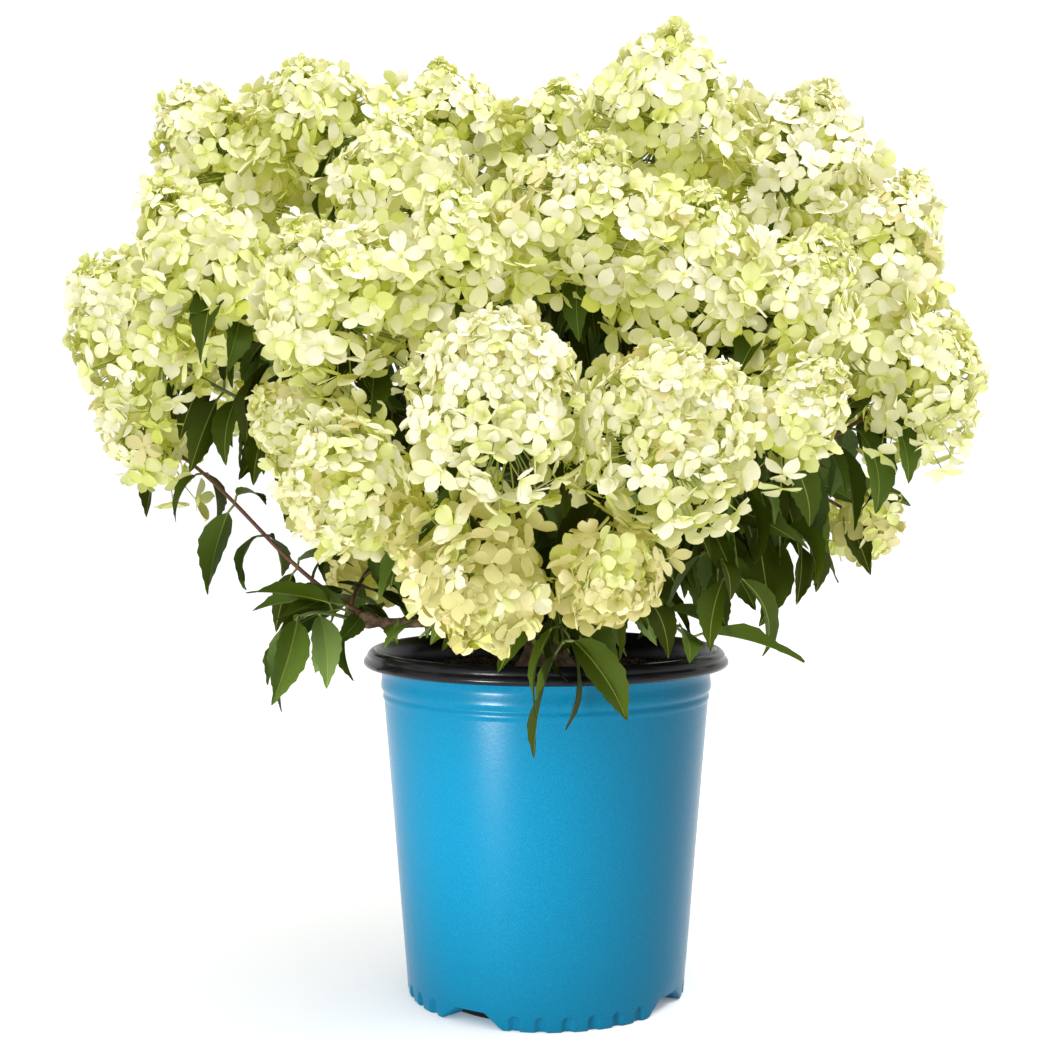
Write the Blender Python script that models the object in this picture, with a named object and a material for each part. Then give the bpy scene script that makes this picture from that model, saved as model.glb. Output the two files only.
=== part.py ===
"""A panicle hydrangea in its nursery pot.

Metres, +Z up. The origin is the middle of the pot's flat underside, and -Y is the plant's front.
A short woody base stands on the potting mix. Boughs leave it, and each ends in a knuckle, where it
was last pruned. Every shoot starts at a knuckle, bears leaves in crossed pairs, and ends in a
flower head or in more leaves.
"""

import math
import random

import bmesh
import bpy
from mathutils import Matrix, Quaternion, Vector
from mathutils.bvhtree import BVHTree

# The least gap between any two pieces, and the gap where one limb meets the next.
CLEARANCE = 0.0003
SEAT = 0.00035

# The pot, turned round its axis.
POT_HEIGHT = 0.222
RIM_RADIUS = 0.1175
RIM_DROP = 0.0105
RIM_ROLL = 0.0012
MOUTH_RADIUS = 0.1092
BAND_RADIUS = 0.1066
BAND_FOOT = 0.1985
BAND_SLOPE = 0.0020
WALL_TOP_RADIUS = 0.1052
BASE_RADIUS = 0.0893
WALL = 0.0016
POT_SIDES = 36

# The drainage pockets, let into the foot of the wall between four feet.
POCKETS = 4
FIRST_POCKET = math.radians(-32.0)
POCKET_HEIGHT = 0.0095
POCKET_DEPTH = 0.016
POCKET_WIDTH_LOW = 0.045
POCKET_WIDTH_HIGH = 0.021
OVERCUT = 0.010

# The potting mix, heaped a little towards the stem.
MIX_EDGE = 0.2035
MIX_TOP = 0.2085
MIX_FLAT_RADIUS = 0.030

# The woody base, and the stubs on it that the boughs grow from.
WOOD_HEIGHT = 0.026
WOOD_FOOT_RADIUS = 0.021
WOOD_RADIUS = 0.013
WOOD_SIDES = 10
STUB_REACH = 0.024
STUB_RADIUS = 0.0044
LEAST_SLOPE = 0.45
MOST_SLOPE = 2.6

# Boughs taper from the woody base and swell at the knuckle.
BOUGH_RADIUS = 0.0040
BOUGH_THIN = 0.0028
KNUCKLE_RADIUS = 0.0052
BOUGH_SIDES = 5
BOUGH_STEPS = 5
BOUGH_RISE = 0.25

# Shoots, which stand in a ring on their knuckle. A shoot whose straight way is blocked bends aside.
SHOOT_RADIUS = 0.0014
SHOOT_SIDES = 3
SHOOT_STEPS = 5
SHOOT_RING = 0.0036
SHOOT_BENDS = (0.0, 0.25, 0.5, 0.8, 1.2, 1.7)
SHOOT_TURNS = 12

# Leaves. Each droop is tried in turn, with its share of the full length, until the leaf is clear.
LEAF_LENGTH = 0.062
LEAF_SLENDERNESS = 0.42
LEAF_WIDEST = 0.42
LEAF_FOLD = 0.12
LEAF_THICKNESS = 0.0012
LEAF_DROOPS = ((0.9, 1.0), (0.5, 1.0), (1.5, 0.9), (0.2, 0.8), (0.7, 0.6))
LEAF_SPAN = (0.30, 0.66)
LEAFY_SPAN = (0.20, 0.97)
LEAFY_DROOP = 0.5
LEAF_FLOOR = 0.2245
HANG_SPREAD = 0.050

# Flower heads: a dense core, and umbrellas that each stand for a spray of florets.
CORE_SHARE = 0.72
CORE_SIDES = 6
CORE_RINGS = 3
SPRAY_PLANE = 0.93
SPRAY_AREA = 0.0028
FEWEST_SPRAYS = 6
SPRAY_DROOP = 0.22
SPRAY_FILL = 0.92
SPRAY_SIZES = (1.0, 0.88, 0.76, 0.64, 0.52)
SPRAY_TURNS = 5
SPRAY_ROOT = 0.58
TIP_SPRAY = 0.7
GOLDEN_TURN = math.radians(137.508)

UP = Vector((0.0, 0.0, 1.0))

BARK = ("bark", (0.23, 0.15, 0.09), 0.8)
GREEN = ("leaf_green", (0.10, 0.20, 0.04), 0.5)
CREAM = ("petal_cream", (0.86, 0.88, 0.62), 0.6)
LIME = ("petal_lime", (0.72, 0.80, 0.42), 0.6)

# Each bough: its knuckle, then its flower heads (middle, length, width, colour, pairs of leaves),
# then its leafy shoots (tip, pairs of leaves, whether they hang below the rim).
BOUGHS = {
    "bough_left": {
        "knuckle": (-0.105, 0.000, 0.335),
        "heads": {
            "head_far_left": ((-0.261, -0.010, 0.433), 0.114, 0.094, LIME, 1),
            "head_left_upper": ((-0.211, -0.068, 0.468), 0.104, 0.080, LIME, 1),
            "head_top_left": ((-0.217, 0.052, 0.543), 0.136, 0.094, LIME, 1),
        },
        "leafy": {},
    },
    "bough_left_low": {
        "knuckle": (-0.118, -0.028, 0.243),
        "heads": {
            "head_left_small": ((-0.270, 0.040, 0.362), 0.080, 0.056, LIME, 4),
            "head_back_low_left": ((-0.123, 0.040, 0.268), 0.054, 0.050, CREAM, 1),
        },
        "leafy": {"leaves_left_low": ((-0.152, -0.062, 0.246), 4, True)},
    },
    "bough_left_front": {
        "knuckle": (-0.070, -0.070, 0.322),
        "heads": {
            "head_left_centre": ((-0.122, -0.135, 0.435), 0.094, 0.094, LIME, 2),
            "head_left_low_back": ((-0.148, -0.070, 0.362), 0.070, 0.068, CREAM, 2),
            "head_left_low_front": ((-0.113, -0.155, 0.327), 0.090, 0.082, CREAM, 2),
        },
        "leafy": {},
    },
    "bough_middle_left": {
        "knuckle": (-0.045, -0.005, 0.405),
        "heads": {
            "head_centre_left": ((-0.087, -0.065, 0.506), 0.096, 0.094, LIME, 1),
            "head_centre_middle": ((-0.052, -0.140, 0.458), 0.086, 0.064, LIME, 1),
            "head_top_left_middle": ((-0.146, 0.030, 0.568), 0.090, 0.092, LIME, 1),
            "head_top_centre": ((-0.066, 0.050, 0.570), 0.088, 0.082, LIME, 1),
        },
        "leafy": {},
    },
    "bough_middle_right": {
        "knuckle": (0.035, 0.000, 0.415),
        "heads": {
            "head_top_right_middle": ((0.076, 0.000, 0.570), 0.112, 0.100, LIME, 1),
            "head_top_middle_back": ((0.010, 0.070, 0.568), 0.076, 0.074, LIME, 1),
            "head_centre": ((0.019, -0.115, 0.486), 0.090, 0.092, LIME, 2),
            "head_centre_right": ((0.082, -0.105, 0.456), 0.094, 0.084, LIME, 2),
        },
        "leafy": {},
    },
    "bough_right": {
        "knuckle": (0.110, 0.000, 0.372),
        "heads": {
            "head_top_right": ((0.163, 0.005, 0.541), 0.106, 0.088, LIME, 1),
            "head_right_upper": ((0.214, -0.005, 0.484), 0.108, 0.088, LIME, 1),
            "head_right_front": ((0.148, -0.105, 0.438), 0.078, 0.084, LIME, 1),
        },
        "leafy": {},
    },
    "bough_right_low": {
        "knuckle": (0.090, -0.035, 0.305),
        "heads": {
            "head_far_right_low": ((0.236, -0.005, 0.399), 0.098, 0.100, CREAM, 2),
            "head_right_middle_low": ((0.140, -0.130, 0.372), 0.068, 0.064, CREAM, 3),
        },
        "leafy": {
            "leaves_right_low": ((0.158, -0.050, 0.292), 5, False),
            "leaves_right_front": ((0.104, -0.125, 0.275), 5, False),
        },
    },
    "bough_front": {
        "knuckle": (0.000, -0.085, 0.282),
        "heads": {
            "head_front_left": ((-0.028, -0.230, 0.376), 0.104, 0.096, CREAM, 2),
            "head_front_right": ((0.060, -0.220, 0.360), 0.102, 0.096, CREAM, 2),
            "head_front_low_left": ((-0.038, -0.200, 0.277), 0.080, 0.074, CREAM, 1),
            "head_front_low_side": ((-0.072, -0.160, 0.302), 0.050, 0.046, CREAM, 0),
            "head_front_low": ((0.031, -0.200, 0.281), 0.062, 0.060, CREAM, 1),
        },
        "leafy": {
            "leaves_front": ((0.008, -0.152, 0.240), 4, True),
            "leaves_front_right": ((0.082, -0.122, 0.238), 5, False),
            "leaves_front_left": ((-0.075, -0.100, 0.238), 3, False),
        },
    },
    "bough_back_left": {
        "knuckle": (-0.080, 0.085, 0.345),
        "heads": {
            "head_back_left_top": ((-0.140, 0.135, 0.500), 0.100, 0.088, LIME, 1),
            "head_back_left": ((-0.205, 0.125, 0.420), 0.094, 0.080, LIME, 1),
            "head_back_left_low": ((-0.110, 0.200, 0.365), 0.090, 0.080, CREAM, 2),
        },
        "leafy": {"leaves_back_left": ((-0.150, 0.130, 0.285), 5, False)},
    },
    "bough_back_right": {
        "knuckle": (0.085, 0.080, 0.345),
        "heads": {
            "head_back_right_top": ((0.125, 0.135, 0.505), 0.100, 0.088, LIME, 1),
            "head_back_right": ((0.200, 0.120, 0.415), 0.094, 0.080, LIME, 1),
            "head_back_right_low": ((0.120, 0.195, 0.365), 0.090, 0.080, CREAM, 2),
            "head_right_small": ((0.229, 0.100, 0.300), 0.054, 0.054, CREAM, 2),
        },
        "leafy": {"leaves_back_right": ((0.130, 0.130, 0.272), 5, False)},
    },
    "bough_back": {
        "knuckle": (0.000, 0.085, 0.375),
        "heads": {
            "head_back_top": ((-0.012, 0.150, 0.510), 0.096, 0.086, LIME, 1),
            "head_back": ((0.004, 0.215, 0.425), 0.100, 0.088, LIME, 1),
            "head_back_low": ((0.004, 0.195, 0.305), 0.082, 0.076, CREAM, 2),
        },
        "leafy": {},
    },
}

# Heads turn away from this point inside the plant.
HEART = Vector((0.0, 0.0, 0.330))
HEAD_LIFT = 0.70
LEVEL_HEIGHT = 0.33
LIFT_SPAN = 0.05


def clear_scene():
    for found in list(bpy.data.objects):
        bpy.data.objects.remove(found)


def material(name, colour, roughness):
    made = bpy.data.materials.get(name) or bpy.data.materials.new(name)
    made.use_nodes = True
    shader = made.node_tree.nodes["Principled BSDF"]
    shader.inputs["Base Color"].default_value = (*colour, 1.0)
    shader.inputs["Roughness"].default_value = roughness
    return made


def add_object(name, points, faces, finish, collection=None):
    mesh = bpy.data.meshes.new(name)
    mesh.from_pydata([tuple(point) for point in points], [], faces)
    mesh.materials.append(material(*finish))
    made = bpy.data.objects.new(name, mesh)
    (collection or bpy.context.scene.collection).objects.link(made)
    return made


def turned(profile, sides):
    """Points and faces of a profile of (radius, height) turned round Z, from its foot on the axis,
    up the outside and back to the axis."""
    points = []
    rings = []
    for radius, height in profile:
        if radius == 0.0:
            rings.append([len(points)] * sides)
            points.append(Vector((0.0, 0.0, height)))
            continue
        rings.append(list(range(len(points), len(points) + sides)))
        for side in range(sides):
            angle = math.tau * side / sides
            points.append(Vector((radius * math.cos(angle), radius * math.sin(angle), height)))
    faces = []
    for low, high in zip(rings, rings[1:]):
        for side in range(sides):
            after = (side + 1) % sides
            corners = [low[side], low[after], high[after], high[side]]
            faces.append(list(dict.fromkeys(corners)))
    return points, faces


def frustum(low, high):
    """A closed block between two four-sided outlines of the same turn."""
    sides = [[i, (i + 1) % 4, (i + 1) % 4 + 4, i + 4] for i in range(4)]
    return [*low, *high], [[3, 2, 1, 0], [4, 5, 6, 7], *sides]


def boolean(target, operation, others, solver="EXACT"):
    """Joins or cuts target with all of others at once, and removes them."""
    group = bpy.data.collections.new("tools")
    for other in others:
        group.objects.link(other)
    change = target.modifiers.new(operation.lower(), "BOOLEAN")
    change.operation = operation
    change.operand_type = "COLLECTION"
    change.collection = group
    change.solver = solver
    graph = bpy.context.evaluated_depsgraph_get()
    mesh = bpy.data.meshes.new_from_object(target.evaluated_get(graph), depsgraph=graph)
    target.modifiers.clear()
    target.data = mesh
    for other in others:
        bpy.data.objects.remove(other)
    bpy.data.collections.remove(group)


def keep_outer_shell(made):
    """Fills the hollows that fusing sealed and drops loose scraps, by keeping the widest shell."""
    mesh = bmesh.new()
    mesh.from_mesh(made.data)
    unseen = set(mesh.verts)
    shells = []
    while unseen:
        shell = {unseen.pop()}
        edge = list(shell)
        while edge:
            corner = edge.pop()
            for side in corner.link_edges:
                other = side.other_vert(corner)
                if other in unseen:
                    unseen.remove(other)
                    shell.add(other)
                    edge.append(other)
        spans = [max(v.co[axis] for v in shell) - min(v.co[axis] for v in shell) for axis in range(3)]
        shells.append((sum(spans), shell))
    shells.sort(key=lambda pair: pair[0])
    for _, shell in shells[:-1]:
        bmesh.ops.delete(mesh, geom=list(shell), context="VERTS")
    mesh.to_mesh(made.data)
    mesh.free()


def pocket_blocks(grow, name):
    """The four pockets as blocks, larger all round by grow, running out past the wall."""
    blocks = []
    for number in range(POCKETS):
        turn = Matrix.Rotation(FIRST_POCKET + number * math.tau / POCKETS, 3, "Z")
        outlines = []
        levels = ((-POCKET_HEIGHT / 4, POCKET_WIDTH_LOW), (POCKET_HEIGHT + grow, POCKET_WIDTH_HIGH))
        for height, width in levels:
            half = width / 2 + grow
            near = -(BASE_RADIUS - POCKET_DEPTH - grow)
            far = -(BASE_RADIUS + OVERCUT)
            corners = [(-half, far), (half, far), (half, near), (-half, near)]
            outlines.append([turn @ Vector((x, y, height)) for x, y in corners])
        points, faces = frustum(*outlines)
        blocks.append(add_object(f"{name}_{number}", points, faces, BARK))
    return blocks


def cavity(inset, name, top_profile):
    """The inside of the pot, smaller all round by inset, with the pockets left standing in it."""
    slope = (WALL_TOP_RADIUS - BASE_RADIUS) / BAND_FOOT
    floor = WALL + inset
    low = (BASE_RADIUS - WALL - inset + slope * floor, floor)
    profile = [(0.0, floor), low, *top_profile]
    made = add_object(name, *turned(profile, POT_SIDES), BARK)
    boolean(made, "DIFFERENCE", pocket_blocks(WALL + inset, f"{name}_pocket"))
    return made


def build_pot():
    lip = POT_HEIGHT - RIM_DROP
    outside = [
        (0.0, 0.0),
        (BASE_RADIUS, 0.0),
        (WALL_TOP_RADIUS, BAND_FOOT),
        (BAND_RADIUS, BAND_FOOT + BAND_SLOPE),
        (BAND_RADIUS, lip),
        (RIM_RADIUS - RIM_ROLL, lip),
        (RIM_RADIUS, lip + RIM_DROP * 0.2),
        (RIM_RADIUS - RIM_ROLL, lip + RIM_DROP * 0.45),
        (RIM_RADIUS - RIM_ROLL * 3.3, POT_HEIGHT - RIM_DROP * 0.1),
        (MOUTH_RADIUS + RIM_ROLL, POT_HEIGHT),
        (0.0, POT_HEIGHT),
    ]
    pot = add_object("pot", *turned(outside, POT_SIDES), ("pot_blue", (0.0, 0.30, 0.58), 0.4))
    above = [
        (WALL_TOP_RADIUS - WALL, BAND_FOOT),
        (BAND_RADIUS - WALL, BAND_FOOT + BAND_SLOPE),
        (BAND_RADIUS - WALL, lip - WALL / 2),
        (MOUTH_RADIUS, POT_HEIGHT - RIM_ROLL),
        (MOUTH_RADIUS, POT_HEIGHT + OVERCUT),
        (0.0, POT_HEIGHT + OVERCUT),
    ]
    inside = cavity(0.0, "inside", above)
    boolean(pot, "DIFFERENCE", [inside, *pocket_blocks(0.0, "pocket")])
    return pot


def build_mix():
    inset = WALL + CLEARANCE
    top = [
        (WALL_TOP_RADIUS - inset, BAND_FOOT + CLEARANCE / 2),
        (BAND_RADIUS - inset, BAND_FOOT + BAND_SLOPE + CLEARANCE),
        (BAND_RADIUS - inset, MIX_EDGE),
        (MIX_FLAT_RADIUS, MIX_TOP),
        (0.0, MIX_TOP),
    ]
    mix = cavity(CLEARANCE, "potting_mix", top)
    mix.data.materials.clear()
    mix.data.materials.append(material("mix_brown", (0.06, 0.04, 0.03), 0.95))
    return mix


def curve_between(start, start_way, end, end_way, steps):
    """Points of a smooth limb that leaves start along one way and arrives at end along the other."""
    pull = (end - start).length
    points = []
    for step in range(steps + 1):
        t = step / steps
        points.append(
            start * (2 * t**3 - 3 * t**2 + 1)
            + start_way * pull * (t**3 - 2 * t**2 + t)
            + end * (3 * t**2 - 2 * t**3)
            + end_way * pull * (t**3 - t**2)
        )
    return points


def ways_along(points):
    """The direction of a limb at each of its points."""
    ways = []
    for number in range(len(points)):
        before = points[max(number - 1, 0)]
        after = points[min(number + 1, len(points) - 1)]
        ways.append((after - before).normalized())
    return ways


def tube(points, radii, sides, first_way=None):
    """Points and faces of a closed tapering limb with flat ends."""
    ways = ways_along(points)
    if first_way is not None:
        ways[0] = first_way.normalized()
    across = ways[0].orthogonal().normalized()
    corners = []
    for number, (point, way, radius) in enumerate(zip(points, ways, radii)):
        if number:
            across = ways[number - 1].rotation_difference(way) @ across
        across = (across - way * across.dot(way)).normalized()
        for side in range(sides):
            spun = Quaternion(way, math.tau * side / sides) @ across
            corners.append(point + spun * radius)
    faces = [list(range(sides))[::-1]]
    for ring in range(len(points) - 1):
        for side in range(sides):
            after = (side + 1) % sides
            low = ring * sides
            high = low + sides
            faces.append([low + side, low + after, high + after, high + side])
    faces.append([(len(points) - 1) * sides + side for side in range(sides)])
    return corners, faces


def leaf(root, way, length):
    """A thin folded blade of eight faces, from its root to its tip."""
    side = way.cross(UP).normalized()
    face = side.cross(way).normalized()
    width = length * LEAF_SLENDERNESS
    widest = root + way * length * LEAF_WIDEST
    fold = width * LEAF_FOLD
    thick = LEAF_THICKNESS / 2
    points = [
        root,
        widest + side * width / 2 + face * fold,
        root + way * length - face * length * LEAF_FOLD,
        widest - side * width / 2 + face * fold,
        widest + face * thick,
        widest - face * thick,
    ]
    faces = []
    for number in range(4):
        after = (number + 1) % 4
        faces.append([number, after, 4])
        faces.append([after, number, 5])
    return points, faces


def spray(middle, way, spin, reach, root):
    """A spray of florets as one four-sided umbrella over a stalk that ends at root."""
    across = Quaternion(way, spin) @ way.orthogonal().normalized()
    points = [middle, root]
    for number in range(4):
        ray = Quaternion(way, math.tau * number / 4) @ across
        points.append(middle + (ray - way * SPRAY_DROOP) * reach)
    faces = []
    for number in range(4):
        after = 2 + (number + 1) % 4
        faces.append([0, 2 + number, after])
        faces.append([1, after, 2 + number])
    return points, faces


def head_radius(share):
    """The head's half width at a share of its length from foot to tip, as a share of the most."""
    return math.sin(math.pi * share**0.72) ** 0.62


def head_core(middle, way, length, width):
    """The dense inside of a flower head."""
    across = way.orthogonal().normalized()
    tall = length * CORE_SHARE
    wide = width / 2 * CORE_SHARE
    foot = middle - way * tall / 2
    points = [foot]
    for ring in range(1, CORE_RINGS + 1):
        share = ring / (CORE_RINGS + 1)
        for side in range(CORE_SIDES):
            turn = math.tau * (side + ring * 0.5) / CORE_SIDES
            ray = Quaternion(way, turn) @ across
            points.append(foot + way * tall * share + ray * wide * head_radius(share))
    points.append(foot + way * tall)
    faces = []
    last = len(points) - 1
    for side in range(CORE_SIDES):
        after = (side + 1) % CORE_SIDES
        faces.append([0, 1 + after, 1 + side])
        for ring in range(CORE_RINGS - 1):
            low = 1 + ring * CORE_SIDES
            high = low + CORE_SIDES
            faces.append([low + side, low + after, high + side])
            faces.append([low + after, high + after, high + side])
        low = last - CORE_SIDES
        faces.append([low + side, low + after, last])
    return points, faces


def swollen(points, faces, by):
    """The points of a closed piece, moved outwards."""
    normals = [Vector() for _ in points]
    for face in faces:
        first, second, third = (points[number] for number in face[:3])
        normal = (second - first).cross(third - first)
        for number in face:
            normals[number] += normal
    return [point + normal.normalized() * by for point, normal in zip(points, normals)]


class Space:
    """The space that limbs, cores, sprays and leaves have taken, by the piece that they belong to."""

    def __init__(self):
        self.taken = []

    def is_clear(self, owner, points, faces, is_blade=False):
        """Whether a piece touches nothing but its owner's frame. A frame may touch its own blades."""
        mine = BVHTree.FromPolygons(points, faces)
        for other, other_is_blade, tree in self.taken:
            if other == owner and not (is_blade and other_is_blade):
                continue
            if tree.overlap(mine):
                return False
        return True

    def take(self, owner, points, faces, is_blade=False):
        """Takes the room of a piece and of the clearance round it."""
        grown = swollen(points, faces, CLEARANCE)
        self.taken.append((owner, is_blade, BVHTree.FromPolygons(grown, faces)))


def stub_way(knuckle):
    """The way in which a bough's stub leaves the woody base."""
    out = Vector((knuckle.x, knuckle.y, 0.0)).normalized()
    slope = (knuckle.z - MIX_TOP - WOOD_HEIGHT) / knuckle.xy.length
    return (out + UP * min(max(slope, LEAST_SLOPE), MOST_SLOPE)).normalized()


def wood_heart():
    return Vector((0.0, 0.0, MIX_TOP + CLEARANCE + WOOD_HEIGHT * 0.62))


def build_woody_base(space):
    foot = MIX_TOP + CLEARANCE
    profile = [
        (0.0, foot),
        (WOOD_FOOT_RADIUS, foot),
        (WOOD_RADIUS, foot + WOOD_HEIGHT * 0.35),
        (WOOD_RADIUS, foot + WOOD_HEIGHT * 0.8),
        (WOOD_RADIUS * 0.6, foot + WOOD_HEIGHT),
        (0.0, foot + WOOD_HEIGHT),
    ]
    points, faces = turned(profile, WOOD_SIDES)
    space.take("woody_base", points, faces)
    base = add_object("woody_base", points, faces, BARK)
    stubs = []
    for name, bough in BOUGHS.items():
        way = stub_way(Vector(bough["knuckle"]))
        line = [wood_heart(), wood_heart() + way * STUB_REACH]
        points, faces = tube(line, [STUB_RADIUS, STUB_RADIUS], BOUGH_SIDES)
        space.take("woody_base", points, faces)
        stubs.append(add_object(f"stub_{name}", points, faces, BARK))
    boolean(base, "UNION", stubs)
    return base


def bough_line(bough):
    """The points along a bough, and the way it faces at its knuckle."""
    knuckle = Vector(bough["knuckle"])
    way = stub_way(knuckle)
    start = wood_heart() + way * (STUB_REACH + SEAT)
    end_way = ((knuckle - start).normalized() + UP * BOUGH_RISE).normalized()
    return curve_between(start, way, knuckle, end_way, BOUGH_STEPS), way, end_way


def build_bough(name, bough, space):
    line, way, end_way = bough_line(bough)
    radii = []
    for step in range(BOUGH_STEPS):
        radii.append(BOUGH_RADIUS + (BOUGH_THIN - BOUGH_RADIUS) * step / (BOUGH_STEPS - 1))
    line.insert(-1, line[-1] - end_way * KNUCKLE_RADIUS * 1.2)
    radii += [KNUCKLE_RADIUS * 0.85, KNUCKLE_RADIUS]
    points, faces = tube(line, radii, BOUGH_SIDES, way)
    if not space.is_clear(name, points, faces):
        raise ValueError(f"no room for {name}")
    space.take(name, points, faces)
    add_object(name, points, faces, BARK)


def take_object(space, made):
    points = [corner.co.copy() for corner in made.data.vertices]
    space.take(made.name, points, [list(face.vertices) for face in made.data.polygons])


class Shoot:
    """A shoot from its knuckle to its flower head or its leafy tip."""

    def __init__(self, name, target):
        self.name = name
        self.target = target
        self.seed = random.Random(name)
        self.hangs = False
        self.pieces = []

    def try_add(self, space, points, faces, is_blade=False):
        """Adds a piece if there is room for it."""
        if not space.is_clear(self.name, points, faces, is_blade):
            return False
        space.take(self.name, points, faces, is_blade)
        self.pieces.append((points, faces))
        return True

    def grow_stem(self, space, end, end_way):
        """The stem, by the straightest way that is clear of everything else."""
        ahead = (end - self.start).normalized()
        aside = ahead.orthogonal().normalized()
        for bend in SHOOT_BENDS:
            for turn in range(SHOOT_TURNS):
                detour = Quaternion(ahead, math.tau * turn / SHOOT_TURNS) @ aside * bend
                first_way = (self.start_way + ahead * 0.9 + detour).normalized()
                last_way = (end_way - detour * 0.5).normalized()
                self.line = curve_between(self.start, first_way, end, last_way, SHOOT_STEPS)
                radii = [SHOOT_RADIUS] * len(self.line)
                if self.try_add(space, *tube(self.line, radii, SHOOT_SIDES, self.start_way)):
                    return
        raise ValueError(f"no way for the stem of {self.name}")

    def grow_leaves(self, space, span):
        """Crossed pairs of leaves between two shares of the shoot's length."""
        first, last = span
        ways = ways_along(self.line)
        turn = self.seed.uniform(0.0, math.tau)
        for pair in range(self.pairs):
            share = first + (last - first) * pair / max(self.pairs - 1, 1)
            place = share * SHOOT_STEPS
            number = min(int(place), SHOOT_STEPS - 1)
            root = self.line[number].lerp(self.line[number + 1], place - number)
            way = ways[number]
            across = Quaternion(way, turn) @ way.orthogonal().normalized()
            for sign in (1, -1):
                out = (across * sign + way * 0.45).normalized()
                self.grow_leaf(space, root, out, LEAF_LENGTH * self.seed.uniform(0.8, 1.05))
            turn += math.pi / 2

    def may_hang(self, points):
        """Leaves hang below the pot's rim only round the tip of a hanging shoot."""
        lowest = min(points, key=lambda point: point.z)
        near = (lowest - self.target).xy.length < HANG_SPREAD
        return lowest.z > LEAF_FLOOR or (self.hangs and near)

    def grow_leaf(self, space, root, out, length):
        """One leaf, which hangs more or less until it is clear of everything else."""
        for droop, share in LEAF_DROOPS:
            way = (out - UP * droop).normalized()
            points, faces = leaf(root, way, length * share)
            if self.may_hang(points) and self.try_add(space, points, faces):
                return

    def finish(self, finish):
        """Joins the shoot's pieces into one solid."""
        first, *others = self.pieces
        stem = add_object(self.name, *first, finish)
        blades = []
        for number, (points, faces) in enumerate(others):
            blades.append(add_object(f"{self.name}_piece_{number}", points, faces, finish))
        boolean(stem, "UNION", blades)
        keep_outer_shell(stem)


def head_way(middle):
    """The way a flower head faces: out from the plant's heart, and turned up a little."""
    lift = HEAD_LIFT * min(max((middle.z - LEVEL_HEIGHT) / LIFT_SPAN, -0.5), 1.0)
    return ((middle - HEART).normalized() + UP * lift).normalized()


class Head(Shoot):
    """A shoot that ends in a flower head."""

    def __init__(self, name, form):
        middle, self.length, self.width, self.colour, self.pairs = form
        self.middle = Vector(middle)
        self.way = head_way(self.middle)
        super().__init__(name, self.middle)

    def grow_core(self, space):
        if not self.try_add(space, *head_core(self.middle, self.way, self.length, self.width)):
            raise ValueError(f"no room for {self.name}")

    def grow_frame(self, space):
        self.grow_stem(space, self.middle - self.way * self.length * CORE_SHARE / 4, self.way)

    def grow_sprays(self, space):
        """Sprays round the head by the golden turn, from its tip to its foot."""
        area = math.pi * self.width * self.length
        count = max(FEWEST_SPRAYS, round(area / SPRAY_AREA))
        reach = math.sqrt(area / count / 2) * SPRAY_FILL
        across = self.way.orthogonal().normalized()
        turn = self.seed.uniform(0.0, math.tau)
        for number in range(count):
            share = 1.0 - (number + 0.5) / count
            ray = Quaternion(self.way, turn + number * GOLDEN_TURN) @ across
            lean = math.acos(2.0 * share - 1.0)
            out = (ray * math.sin(lean) + self.way * math.cos(lean)).normalized()
            along = self.way * math.cos(lean) * self.length / 2
            around = ray * head_radius(share) * self.width / 2
            spot = self.middle + (along + around) * SPRAY_PLANE
            root = self.middle + (along + around) * SPRAY_ROOT
            size = TIP_SPRAY + (1.0 - TIP_SPRAY) * math.sin(lean)
            self.grow_spray(space, spot, out, reach * size, root)

    def grow_spray(self, space, spot, out, reach, root):
        """One spray, turned and then made smaller until it is clear of everything else."""
        first = self.seed.uniform(0.0, math.tau)
        for size in SPRAY_SIZES:
            for turn in range(SPRAY_TURNS):
                spin = first + turn * math.tau / 4 / SPRAY_TURNS
                if self.try_add(space, *spray(spot, out, spin, reach * size, root), is_blade=True):
                    return


class LeafyShoot(Shoot):
    """A shoot with leaves and no flower."""

    def __init__(self, name, form):
        tip, self.pairs, hangs = form
        self.tip = Vector(tip)
        super().__init__(name, self.tip)
        self.hangs = hangs

    def grow_frame(self, space):
        out = Vector((self.tip.x, self.tip.y, 0.0)).normalized()
        self.grow_stem(space, self.tip, (out - UP * LEAFY_DROOP).normalized())


def seat_on_knuckle(bough, shoots):
    """Spaces the shoots evenly round the end of their bough, each on the side that it leans to."""
    _, _, way = bough_line(bough)
    knuckle = Vector(bough["knuckle"])
    across = way.orthogonal().normalized()
    beside = way.cross(across)
    leans = []
    for shoot in shoots:
        aim = shoot.target - knuckle
        leans.append((math.atan2(aim.dot(beside), aim.dot(across)), shoot))
    leans.sort(key=lambda pair: pair[0])
    gap = math.tau / len(leans)
    offsets = [lean - number * gap for number, (lean, _) in enumerate(leans)]
    offset = math.atan2(sum(map(math.sin, offsets)), sum(map(math.cos, offsets)))
    for number, (_, shoot) in enumerate(leans):
        ray = Quaternion(way, offset + number * gap) @ across
        shoot.start_way = way
        shoot.start = knuckle + way * SEAT + ray * SHOOT_RING


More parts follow.
